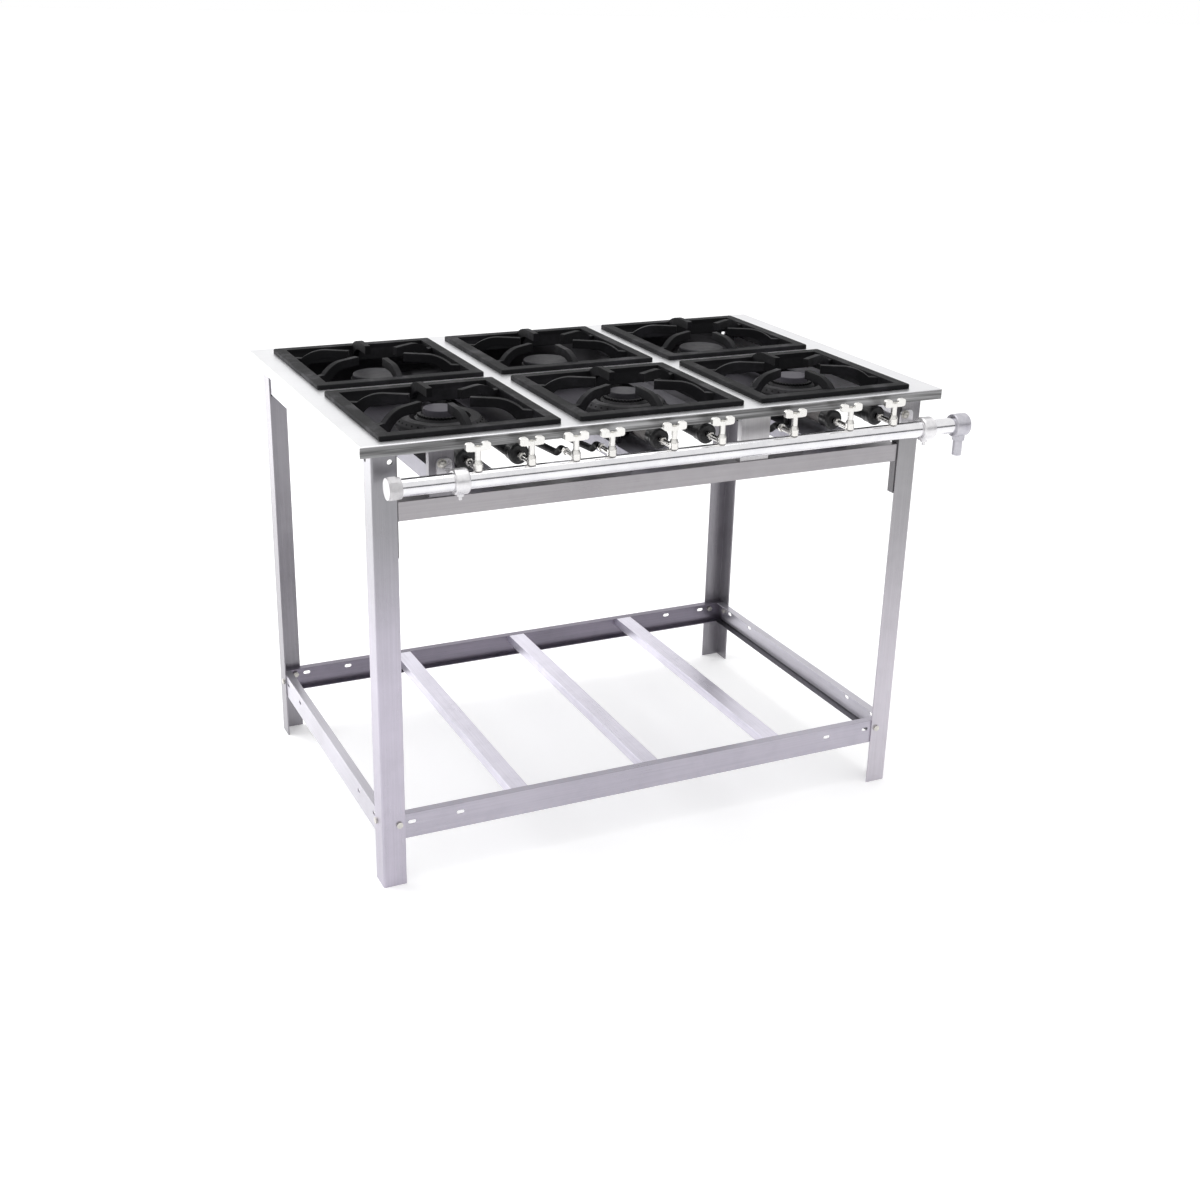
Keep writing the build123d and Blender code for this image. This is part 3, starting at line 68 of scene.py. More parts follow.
class Signal:
    """A number that varies over a surface, carried by a node's output."""

    def __init__(self, bench: "Bench", socket: bpy.types.NodeSocket) -> None:
        """Hold a socket and the bench that it belongs to."""
        self.bench = bench
        self.socket = socket

    def _maths(self, operation: str, first: Any, second: Any) -> "Signal":
        """Add a Math node and return its result."""
        made = self.bench.node("ShaderNodeMath", {"operation": operation}, {0: first, 1: second})
        return Signal(self.bench, made.outputs[0])

    def __add__(self, other: Any) -> "Signal":
        """Return self + other."""
        return self._maths("ADD", self, other)

    def __radd__(self, other: Any) -> "Signal":
        """Return other + self."""
        return self._maths("ADD", other, self)

    def __sub__(self, other: Any) -> "Signal":
        """Return self - other."""
        return self._maths("SUBTRACT", self, other)

    def __rsub__(self, other: Any) -> "Signal":
        """Return other - self."""
        return self._maths("SUBTRACT", other, self)

    def __mul__(self, other: Any) -> "Signal":
        """Return self * other."""
        return self._maths("MULTIPLY", self, other)

    def __lt__(self, other: Any) -> "Signal":
        """Return 1 where self is below other and 0 elsewhere."""
        return self._maths("LESS_THAN", self, other)

    def __rmul__(self, other: Any) -> "Signal":
        """Return other * self."""
        return self._maths("MULTIPLY", other, self)

    def ramp(self, low: float, high: float, to_low: float = 0.0, to_high: float = 1.0) -> "Signal":
        """Stretch the part of the signal between two values and clamp the rest.

        Args:
            low: value that becomes to_low.
            high: value that becomes to_high.
            to_low: result at and below low.
            to_high: result at and above high.

        Returns:
            The stretched signal.
        """
        made = self.bench.node(
            "ShaderNodeMapRange",
            {"interpolation_type": "SMOOTHSTEP", "clamp": True},
            {"Value": self, "From Min": low, "From Max": high, "To Min": to_low, "To Max": to_high},
        )
        return Signal(self.bench, made.outputs[0])


class Bench:
    """Builds the nodes of one material or of the world."""

    def __init__(self, tree: bpy.types.NodeTree, place: str = "Object") -> None:
        """Clear the tree and start from a texture coordinate.

        Args:
            tree: the node tree to build in.
            place: the texture coordinate that the noises read.
        """
        self.tree = tree
        self.tree.nodes.clear()
        self.place = self.node("ShaderNodeTexCoord").outputs[place]

    def node(
        self, kind: str, settings: Optional[Mapping[str, Any]] = None,
        inputs: Optional[Mapping[Any, Any]] = None,
    ) -> bpy.types.Node:
        """Add a node.

        Args:
            kind: the node's type name.
            settings: its properties, set first.
            inputs: socket name or number to a value, a Signal or a socket.

        Returns:
            The new node.
        """
        made = self.tree.nodes.new(kind)
        for key, value in (settings or {}).items():
            setattr(made, key, value)
        for key, value in (inputs or {}).items():
            self.feed(made.inputs[key], value)
        return made

    def feed(self, socket: bpy.types.NodeSocket, value: Any) -> None:
        """Set a socket to a value or link it.

        Args:
            socket: the input socket.
            value: a number, vector, colour, Signal or output socket.
        """
        if isinstance(value, Signal):
            self.tree.links.new(value.socket, socket)
        elif isinstance(value, bpy.types.NodeSocket):
            self.tree.links.new(value, socket)
        elif socket.type == "RGBA" and len(value) == 3:
            socket.default_value = (*value, 1.0)
        else:
            socket.default_value = value

    def noise(
        self, scale: float, detail: float = 3.0, stretch: Colour = EVEN, rough: float = 0.5
    ) -> Signal:
        """Return a noise that runs from 0 to 1 over the object's own place.

        Args:
            scale: lumps in a metre.
            detail: octaves.
            stretch: factor on each axis; a small one draws the noise out along it.
            rough: strength of the finer octaves.

        Returns:
            The noise.
        """
        stretched = {"Vector": self.place, "Scale": stretch}
        mapped = self.node("ShaderNodeMapping", {"vector_type": "POINT"}, stretched)
        made = self.node(
            "ShaderNodeTexNoise",
            {"noise_dimensions": "3D"},
            {"Vector": mapped.outputs[0], "Scale": scale, "Detail": detail, "Roughness": rough},
        )
        return Signal(self, made.outputs["Fac"])

    def along(self, axis: int) -> Signal:
        """Return the place along an axis, 0 to 2 for x to z, in metres."""
        made = self.node("ShaderNodeSeparateXYZ", None, {0: self.place})
        return Signal(self, made.outputs[axis])

    def blend(self, factor: Any, first: Any, second: Any, way: str = "MIX") -> bpy.types.NodeSocket:
        """Mix two colours.

        Args:
            factor: 0 gives the first, 1 the second.
            first: colour or socket.
            second: colour or socket.
            way: the mix node's blend type.

        Returns:
            The mixed colour's socket.
        """
        settings = {"data_type": "RGBA", "blend_type": way}
        made = self.node("ShaderNodeMix", settings, {0: factor, 6: first, 7: second})
        return made.outputs[2]


class Finish(Bench):
    """The nodes of one material round a principled shader."""

    def __init__(self, name: str) -> None:
        """Start the material with its shader and output.

        Args:
            name: the material's name.
        """
        self.material = bpy.data.materials.new(name)
        self.material.use_nodes = True
        super().__init__(self.material.node_tree)
        self.shader = self.node("ShaderNodeBsdfPrincipled")
        self.node("ShaderNodeOutputMaterial", None, {0: self.shader.outputs[0]})

    def constants(self, **values: Any) -> None:
        """Set the shader's own sockets, named with underscores for spaces."""
        for key, value in values.items():
            self.feed(self.shader.inputs[key.replace("_", " ")], value)

    def bump(self, height: Signal, strength: float, distance: float, edge: float = 0.0) -> None:
        """Feed the shader's normal from a height, with softened edges.

        Args:
            height: the height signal.
            strength: 0 to 1.
            distance: depth in metres.
            edge: radius that sharp edges are softened to, in metres; 0 leaves them sharp.
        """
        inputs: dict[str, Any] = {"Height": height, "Strength": strength, "Distance": distance}
        if edge > 0.0:
            inputs["Normal"] = self.node("ShaderNodeBevel", {"samples": 4}, {"Radius": edge}).outputs[0]
        self.feed(self.shader.inputs["Normal"], self.node("ShaderNodeBump", None, inputs).outputs[0])


@dataclass(frozen=True)
class Fade:
    """A darker tint that sets in gradually along one axis, used as painted shade."""

    axis: int
    start: float
    end: float
    tint: Colour


@dataclass(frozen=True)
class BrushedSteel:
    """Rolled stainless sheet: fine lines, soft blotches and a few cloudy marks."""

    name: str
    light: Colour
    dark: Colour
    grain: Grain = Grain.ALONG_X
    rough_low: float = 0.26
    rough_high: float = 0.42
    metallic: float = 0.85
    bump: float = 0.12
    edge: float = 0.0012
    fade: Optional[Fade] = None
    shine: float = 0.5
    line_scale: float = 420.0
    fine_scale: float = 1500.0
    cloud_scale: float = 5.0
    smear_scale: float = 18.0
    bump_depth: float = 0.0004

    def tone(self, finish: Finish) -> bpy.types.NodeSocket:
        """Mix the colour of the plain sheet, darkened with painted shade where it fades.

        Args:
            finish: the material that is being built.

        Returns:
            The colour's socket.
        """
        lines = finish.noise(self.line_scale, 4.0, self.grain.value, 0.65)
        cloud = finish.noise(self.cloud_scale, 4.0, EVEN, 0.6)
        smear = finish.noise(self.smear_scale, 5.0, EVEN, 0.7).ramp(0.45, 0.8)
        mix = (lines * 0.45 + cloud * 0.75 - smear * 0.12).ramp(0.35, 0.85)
        plain = finish.blend(mix, self.dark, self.light)
        if self.fade is None:
            return plain
        # painted shade: the plain colour is multiplied by the darker tint along the axis
        amount = finish.along(self.fade.axis).ramp(self.fade.start, self.fade.end)
        return finish.blend(amount, plain, self.fade.tint, "MULTIPLY")

    def material(self) -> bpy.types.Material:
        """Build the material.

        Returns:
            The material, ready to put on a piece.
        """
        finish = Finish(self.name)
        lines = finish.noise(self.line_scale, 4.0, self.grain.value, 0.65)
        fine = finish.noise(self.fine_scale, 2.0, self.grain.value, 0.6)
        cloud = finish.noise(self.cloud_scale, 4.0, EVEN, 0.6)
        finish.feed(finish.shader.inputs["Base Color"], self.tone(finish))
        rough = (fine * 0.5 + cloud * 0.5).ramp(0.3, 0.75, self.rough_low, self.rough_high)
        finish.feed(finish.shader.inputs["Roughness"], rough)
        finish.constants(Metallic=self.metallic, Specular_IOR_Level=self.shine)
        finish.bump(lines * 0.6 + fine * 0.4, self.bump, self.bump_depth, self.edge)
        return finish.material


@dataclass(frozen=True)
class FoldedTop(BrushedSteel):
    """The bright top sheet, whose folded front lip gets painted shade, with streaks along it that are partly
    grain and partly painted reflection.
    """

    lip_front: float = 0.0
    lip_top: float = 0.0
    lip_shade_light: Colour = (0.40, 0.40, 0.405)
    lip_shade_dark: Colour = (0.10, 0.10, 0.10)
    lip_depth: float = 0.0035
    lip_edge: float = 0.0016
    streak_scale: float = 170.0
    streak_stretch: Colour = (0.02, 1.0, 1.0)
    scratch_scale: float = 700.0

    def tone(self, finish: Finish) -> bpy.types.NodeSocket:
        """Mix the bright colour, with the lip's painted shade and streaks on its front face.

        Args:
            finish: the material that is being built.

        Returns:
            The colour's socket.
        """
        plain = super().tone(finish)
        # painted shade: the lip's front face below its top edge takes a darker colour than the same sheet on
        # top
        front = finish.along(1) < self.lip_front + self.lip_depth
        below = finish.along(2) < self.lip_top - self.lip_edge
        broad = finish.noise(self.streak_scale, 3.0, self.streak_stretch, 0.6)
        fine = finish.noise(self.scratch_scale, 3.0, self.grain.value, 0.6)
        streaks = (broad * 0.7 + fine * 0.3).ramp(0.36, 0.66)
        # painted reflection and grain: dark and light streaks along the lip
        lip = finish.blend(streaks, self.lip_shade_dark, self.lip_shade_light)
        return finish.blend(front * below, plain, lip)


@dataclass(frozen=True)
class CastIron:
    """Sand-cast iron: grainy skin, paler on rubbed patches, with a bare tube in front where one is given."""

    name: str
    base: Colour = (0.008, 0.008, 0.009)
    rubbed: Colour = (0.018, 0.0172, 0.0205)
    rough_low: float = 0.46
    rough_high: float = 0.66
    metallic: float = 0.06
    shine: float = 0.13
    grit: float = 900.0
    bump: float = 0.3
    edge: float = 0.0018
    tube_front: Optional[float] = None
    tube_top: float = 0.0
    tube: Colour = (0.32, 0.305, 0.30)
    tube_dim: float = 0.55
    lump_scale: float = 120.0
    wear_scale: float = 14.0
    bump_depth: float = 0.0006

    def material(self) -> bpy.types.Material:
        """Build the material.

        Returns:
            The material, ready to put on a piece.
        """
        finish = Finish(self.name)
        sand = finish.noise(self.grit, 4.0, EVEN, 0.7)
        lumps = finish.noise(self.lump_scale, 3.0, EVEN, 0.6)
        wear = finish.noise(self.wear_scale, 5.0, EVEN, 0.65).ramp(0.42, 0.72)
        tone = (wear * 0.6 + sand * 0.5).ramp(0.25, 0.85)
        colour = finish.blend(tone, self.base, self.rubbed)
        if self.tube_front is not None:
            tube = (finish.along(1) < self.tube_front) * (finish.along(2) < self.tube_top)
            dim = tuple(value * self.tube_dim for value in self.tube)
            colour = finish.blend(tube, colour, finish.blend(tone, dim, self.tube))
        finish.feed(finish.shader.inputs["Base Color"], colour)
        rough = (sand * 0.6 + wear * 0.4).ramp(0.2, 0.8, self.rough_high, self.rough_low)
        finish.feed(finish.shader.inputs["Roughness"], rough)
        finish.constants(Metallic=self.metallic, Specular_IOR_Level=self.shine)
        finish.bump(sand * 0.6 + lumps * 0.4, self.bump, self.bump_depth, self.edge)
        return finish.material


@dataclass(frozen=True)
class SmoothMetal:
    """Plated, machined or painted metal with faint marks."""

    name: str
    light: Colour
    dark: Colour
    rough_low: float
    rough_high: float
    metallic: float = 1.0
    coat: float = 0.0
    scale: float = 60.0
    bump: float = 0.06
    edge: float = 0.0008
    shine: float = 0.5
    coat_rough: float = 0.12
    bump_depth: float = 0.0004

    def material(self) -> bpy.types.Material:
        """Build the material.

        Returns:
            The material, ready to put on a piece.
        """
        finish = Finish(self.name)
        marks = finish.noise(self.scale, 5.0, EVEN, 0.7)
        film = finish.noise(self.scale / 6, 3.0, EVEN, 0.5)
        pits = finish.noise(self.scale * 16, 2.0, EVEN, 0.5)
        tone = (marks * 0.5 + film * 0.5).ramp(0.36, 0.64)
        finish.feed(finish.shader.inputs["Base Color"], finish.blend(tone, self.dark, self.light))
        rough = (marks * 0.6 + film * 0.4).ramp(0.35, 0.7, self.rough_low, self.rough_high)
        finish.feed(finish.shader.inputs["Roughness"], rough)
        finish.constants(Metallic=self.metallic, Specular_IOR_Level=self.shine)
        finish.constants(Coat_Weight=self.coat, Coat_Roughness=self.coat_rough)
        finish.bump(marks * 0.4 + pits * 0.6, self.bump, self.bump_depth, self.edge)
        return finish.material


@dataclass(frozen=True)
class PaleFloor:
    """The studio floor's matt, almost white surface."""

    name: str = "pale_floor"
    colour: Colour = (0.87, 0.87, 0.875)
    glow: float = 0.28
    cloud_scale: float = 0.6
    cloud_dim: float = 0.985

    def material(self) -> bpy.types.Material:
        """Build the material.

        Returns:
            The material, ready to put on a piece.
        """
        finish = Finish(self.name)
        cloud = finish.noise(self.cloud_scale, 2.0)
        dim = tuple(value * self.cloud_dim for value in self.colour)
        finish.feed(finish.shader.inputs["Base Color"], finish.blend(cloud, self.colour, dim))
        finish.constants(Roughness=0.75, Specular_IOR_Level=0.2)
        finish.constants(Emission_Color=EVEN, Emission_Strength=self.glow)
        return finish.material


@dataclass
class Studio:
    """Floor, world and soft lights."""

    floor_half: float = 60.0
    white: Colour = (1.0, 1.0, 1.0)
    dim: Colour = (0.16, 0.16, 0.17)
    band_foot: tuple[float, float] = (0.0, 0.05)
    band_head: tuple[float, float] = (0.24, 0.36)
    band_side: tuple[float, float] = (-0.25, 0.1)

    def build(self) -> None:
        """Make the floor, the world and the lights."""
        bpy.ops.mesh.primitive_plane_add(size=2 * self.floor_half, location=(0.0, 0.0, 0.0))
        floor = bpy.context.object
        floor.name = "studio_floor"
        floor.data.materials.append(PaleFloor().material())
        self._sky()
        self._softbox("left_softbox", (-1.75, 1.35, 0.55), (-0.2, 0.0, 0.35), 2.4, 36.0)
        self._softbox("top_softbox", (-0.3, 0.5, 3.2), (0.0, 0.0, 0.6), 3.0, 32.0)
        bpy.context.scene.view_settings.view_transform = "Standard"

    def _sky(self) -> None:
        """Make the white world with one dim band, low behind the camera and hidden from its own rays."""
        world = bpy.data.worlds.new("studio_world")
        world.use_nodes = True
        sky = Bench(world.node_tree, "Generated")
        height = sky.along(2)
        low = height.ramp(*self.band_foot) * height.ramp(*self.band_head, 1.0, 0.0)
        front = sky.along(1).ramp(*self.band_side, 1.0, 0.0)
        seen = Signal(sky, sky.node("ShaderNodeLightPath").outputs["Is Camera Ray"])
        colour = sky.blend(low * front * (1.0 - seen), self.white, self.dim)
        back = sky.node("ShaderNodeBackground", None, {"Color": colour, "Strength": 1.0})
        sky.node("ShaderNodeOutputWorld", None, {0: back.outputs[0]})
        bpy.context.scene.world = world

    def _softbox(self, name: str, place: Colour, aim: Colour, size: float, power: float) -> None:
        """Add a square area light.

        Args:
            name: its name.
            place: where it hangs.
            aim: the point that it faces.
            size: side in metres.
            power: watts.
        """
        data = bpy.data.lights.new(name, "AREA")
        data.shape = "SQUARE"
        data.size = size
        data.energy = power
        light = bpy.data.objects.new(name, data)
        light.location = place
        light.rotation_euler = (Vector(aim) - Vector(place)).to_track_quat("-Z", "Y").to_euler()
        light.visible_camera = False
        bpy.context.scene.collection.objects.link(light)
        LOG.info("light %s", name)


@dataclass
class PhotoCamera:
    """The camera that stands where the photograph was taken."""

    place: Colour = (-1.19265, -2.49625, 1.4296)
    right: Colour = (0.9046714, -0.4254836, 0.0230945)
    up: Colour = (0.1372354, 0.3422458, 0.9295344)
    back: Colour = (-0.4034057, -0.8377538, 0.3680114)
    lens: float = 46.995
    sensor: float = 36.0

    def build(self) -> None:
        """Make the camera and choose it."""
        data = bpy.data.cameras.new("photo_camera")
        data.lens = self.lens
        data.sensor_width = self.sensor
        data.clip_end = 200.0
        camera = bpy.data.objects.new("photo_camera", data)
        turn = Matrix((self.right, self.up, self.back)).transposed().to_4x4()
        camera.matrix_world = Matrix.Translation(self.place) @ turn
        bpy.context.scene.collection.objects.link(camera)
        bpy.context.scene.camera = camera


class Workshop:
    """Edit-mode steps that the small detailed pieces share."""

    @staticmethod
    def drum(name: str, sides: int, radius: float, depth: float, centre: Colour) -> bpy.types.Object:
        """Add an upright cylinder with closed ends, alone in the selection.

        Args:
            name: the new piece's name.
            sides: faces round it.
            radius: its radius.
            depth: its height.
            centre: its middle.

        Returns:
            The new object, in edit mode with nothing selected.
        """
        bpy.ops.object.select_all(action="DESELECT")
        bpy.ops.mesh.primitive_cylinder_add(
            vertices=sides, radius=radius, depth=depth, location=centre, end_fill_type="NGON"
        )
        piece = bpy.context.object
        piece.name = name
        bpy.ops.object.mode_set(mode="EDIT")
        bpy.ops.mesh.select_mode(type="FACE")
        bpy.ops.mesh.select_all(action="DESELECT")
        return piece

    @staticmethod
    def pick(piece: bpy.types.Object, wanted: Callable[[bmesh.types.BMFace], bool]) -> int:
        """Select the faces of a piece in edit mode that pass a test, and no others.

        Args:
            piece: the piece.
            wanted: the test of a face.

        Returns:
            How many are selected.
        """
        mesh = bmesh.from_edit_mesh(piece.data)
        bpy.ops.mesh.select_all(action="DESELECT")
        count = 0
        for face in mesh.faces:
            if wanted(face):
                face.select_set(True)
                count += 1
        bmesh.update_edit_mesh(piece.data)
        return count

    @staticmethod
    def settle(piece: bpy.types.Object, bevel: float = FINE_EDGE, segments: int = 1) -> None:
        """Leave edit mode, round the edges, smooth by angle and put the place into the mesh.

        Args:
            piece: the piece in edit mode.
            bevel: edge radius in metres.
            segments: steps of the rounding.
        """
        bpy.ops.mesh.select_all(action="SELECT")
        bpy.ops.mesh.normals_make_consistent(inside=False)
        bpy.ops.object.mode_set(mode="OBJECT")
        rounding = piece.modifiers.new("rounding", "BEVEL")
        rounding.width = bevel
        rounding.segments = segments
        rounding.limit_method = "ANGLE"
        rounding.angle_limit = math.radians(40)
        bpy.ops.object.modifier_apply(modifier=rounding.name)
        bpy.ops.object.transform_apply(location=True, rotation=True, scale=True)
        bpy.ops.object.shade_smooth_by_angle(angle=math.radians(35))

    @staticmethod
    def copy_to(piece: bpy.types.Object, name: str, shift: Vector) -> bpy.types.Object:
        """Copy a finished piece with a mesh of its own, moved in its mesh.

        Args:
            piece: the piece to copy.
            name: the copy's name.
            shift: how far the copy's mesh is moved.

        Returns:
            The copy.
        """
        copy = piece.copy()
        copy.data = piece.data.copy()
        copy.name = name
        copy.data.transform(Matrix.Translation(shift))
        bpy.context.scene.collection.objects.link(copy)
        return copy

    @staticmethod
    def place(piece: bpy.types.Object, body: str, slot: str, materials: Sequence[bpy.types.Material]) -> None:
        """Dress a new piece and let it ride on its body.

        Args:
            piece: the piece.
            body: the body that it moves with.
            slot: the record's material slot, which is not used.
            materials: its materials in order.
        """
        if not piece.data.materials:
            for material in materials:
                piece.data.materials.append(material)
        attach(piece, body)
        LOG.info("placed %s on %s", piece.name, body)


@dataclass
class Steelwork:
    """The folded and angle steel parts of the frame, with the strip over one gap of the shield plates."""

    strip_x: float = -0.1948
    strip_width: float = 0.077
    strip_sheet: float = 0.0008
    strip_margin: float = 0.007
    strip_rise: float = 0.003
    strip_end_gap: float = 0.002
    nodes: dict[str, tuple[str, ...]] = field(
        default_factory=lambda: {
            "sheet": ("top_sheet",),
            "apron_front": ("front_apron",),
            "apron_x": ("rear_apron",),
            "apron_y": ("side_apron_left", "side_apron_right"),
            "leg_left": ("leg_front_left",),
            "leg_right": ("leg_front_right",),
            "leg_rear": ("leg_rear_left", "leg_rear_right"),
            "rail_x": ("shelf_rail_front",),
            "rail_rear": ("shelf_rail_rear",),
            "rail_left": ("shelf_rail_left",),
            "rail_right": ("shelf_rail_right",),
            "slat": ("shelf_slats",),
            "bracket": ("corner_bracket_left", "corner_bracket_right"),
            "plate_left": ("upright_plate_left",),
            "plate_middle": ("upright_plate_middle",),
            "channel": ("burner_channels",),
            "shield": ("shield_plates",),
        }
    )

    def finishes(self) -> dict[str, BrushedSteel]:
        """Make the finish of each group; the lip's place is read from the sheet.

        Returns:
            The finishes by the name of their group.
        """
        low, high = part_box("top_sheet")
        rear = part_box("rear_apron")[1].y
        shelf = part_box("shelf_rail_rear")[0].z
        along_x, along_y, along_z = Grain.ALONG_X, Grain.ALONG_Y, Grain.ALONG_Z
        return {
            "sheet": FoldedTop(
                "bright_sheet", (0.82, 0.82, 0.835), (0.76, 0.76, 0.775), Grain.ALONG_X, 0.3, 0.42, bump=0.04,
                lip_front=low.y, lip_top=high.z,
            ),
            # painted light and shade: the apron, leg, rail, slat, bracket and plate groups below are copies
            # of one stainless steel, lighter where faces turn to the left or lie flat, darker on front faces,
            # rear parts and parts behind others
            "apron_front": BrushedSteel(
                "apron_sheet_front", (0.41, 0.395, 0.41), (0.33, 0.315, 0.33), along_x,
            ),
            "apron_x": BrushedSteel(
                "apron_sheet_long", (0.45, 0.44, 0.47), (0.34, 0.33, 0.36), along_x,
                # painted shade: all of the rear apron except its outer rear face, including the inner face
                # seen from the front, is darkened
                fade=Fade(1, rear - 0.0004, rear - 0.0009, (0.12, 0.12, 0.12)),
            ),
            "apron_y": BrushedSteel("apron_sheet_side", (0.56, 0.555, 0.58), (0.45, 0.445, 0.465), along_y),
            "leg_left": BrushedSteel(
                "leg_angle_left", (0.55, 0.515, 0.60), (0.445, 0.42, 0.485), along_z,
                # painted shade: the left front leg darkens towards its top, under the top sheet
                fade=Fade(2, 0.36, 0.68, (0.60, 0.63, 0.575)),
            ),
            "leg_right": BrushedSteel(
                "leg_angle_right", (0.60, 0.57, 0.625), (0.49, 0.465, 0.51), along_z,
                # painted shade: the right front leg darkens towards its top, under the top sheet
                fade=Fade(2, 0.15, 0.68, (0.58, 0.60, 0.565)),
            ),
            # painted shade: the rear legs are a darker copy of the front legs' steel
            "leg_rear": BrushedSteel("leg_angle_rear", (0.33, 0.32, 0.345), (0.245, 0.235, 0.255), along_z),
            "rail_x": BrushedSteel("rail_front", (0.51, 0.485, 0.55), (0.40, 0.38, 0.44), along_x),
            "rail_rear": BrushedSteel(
                "rail_back", (0.275, 0.25, 0.305), (0.20, 0.185, 0.225), along_x,
                # painted shade: the rear rail's lowest strip is darkened
                fade=Fade(2, shelf + 0.005, shelf + 0.0025, (0.80, 0.80, 0.80)),
            ),
            "rail_left": BrushedSteel("rail_side_left", (0.62, 0.605, 0.66), (0.50, 0.485, 0.53), along_y),
            "rail_right": BrushedSteel(
                "rail_side_right", (0.60, 0.585, 0.64), (0.48, 0.465, 0.51), along_y,
                # painted shade: the right rail's lowest strip, its lower inner face, is darkened to near
                # black
                fade=Fade(2, shelf + 0.005, shelf + 0.0025, (0.18, 0.18, 0.18)),
            ),
            # painted light: the flat slats are a lighter copy of the rails' steel
            "slat": BrushedSteel("slat_strip", (0.88, 0.85, 0.95), (0.66, 0.635, 0.72), along_y),
            # painted shade: the brackets behind the legs are a dark copy of the steel
            "bracket": BrushedSteel(
                "bracket_sheet", (0.15, 0.145, 0.152), (0.10, 0.097, 0.103), along_z, 0.3, 0.48,
            ),
            # painted shade: the left upright plate is a darker copy of the middle plate's steel
            "plate_left": BrushedSteel(
                "plate_left", (0.27, 0.26, 0.28), (0.19, 0.185, 0.2), along_z, 0.3, 0.48,
            ),
            "plate_middle": BrushedSteel(
                "plate_middle", (0.62, 0.61, 0.62), (0.48, 0.47, 0.48), along_z, 0.3, 0.48,
            ),
            "channel": BrushedSteel(
                "channel_sheet", (0.30, 0.29, 0.33), (0.19, 0.185, 0.21), along_x, 0.34, 0.5,
            ),
            "shield": BrushedSteel(
                "shield_sheet", (0.10, 0.096, 0.11), (0.065, 0.062, 0.072), along_y, 0.44, 0.58, metallic=0.2,
                # painted shade: the shield plates are a dark copy of the steel and darken further towards the
                # rear, under the top sheet
                fade=Fade(1, 0.16, 0.26, (0.28, 0.28, 0.28)), shine=0.12,
            ),
        }

    def build(self, nodes: Mapping[str, bpy.types.Object]) -> None:
        """Dress the steel nodes.

        Args:
            nodes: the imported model's objects by name.
        """
        finishes = self.finishes()
        made = {}
        for key, names in self.nodes.items():
            made[key] = finishes[key].material()
            dress(nodes, names, made[key])
        self._joint_strip(made["shield"])

    def _joint_strip(self, material: bpy.types.Material) -> None:
        """Model the strip with a raised middle that covers the gap between the left and middle shield plates.

        Args:
            material: the shield plates' material.
        """
        low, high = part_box("shield_plates")
        middle = Vector((self.strip_x, (low.y + high.y) / 2, high.z + self.strip_sheet / 2))
        size = Vector((self.strip_width, high.y - low.y - 2 * self.strip_end_gap, self.strip_sheet))
        bpy.ops.object.select_all(action="DESELECT")
        bpy.ops.mesh.primitive_cube_add(size=1.0, location=middle, scale=size)
        strip = bpy.context.object
        strip.name = "shield_joint_strip"
        bpy.ops.object.transform_apply(location=False, rotation=False, scale=True)
        bpy.ops.object.mode_set(mode="EDIT")
        bpy.ops.mesh.select_mode(type="FACE")
        Workshop.pick(strip, lambda face: face.normal.z > FACING)
        bpy.ops.mesh.inset(thickness=self.strip_margin, depth=0.0)
        bpy.ops.mesh.inset(thickness=self.strip_rise, depth=self.strip_rise)
        Workshop.pick(strip, lambda face: face.normal.z < -FACING)
        bpy.ops.mesh.inset(thickness=self.strip_margin, depth=0.0)
        bpy.ops.mesh.inset(thickness=self.strip_rise, depth=-self.strip_rise)
        Workshop.settle(strip)
        # painted shade: the strip takes the shield plates' material with its painted shade
        Workshop.place(strip, "stove", "support_steel", [material])


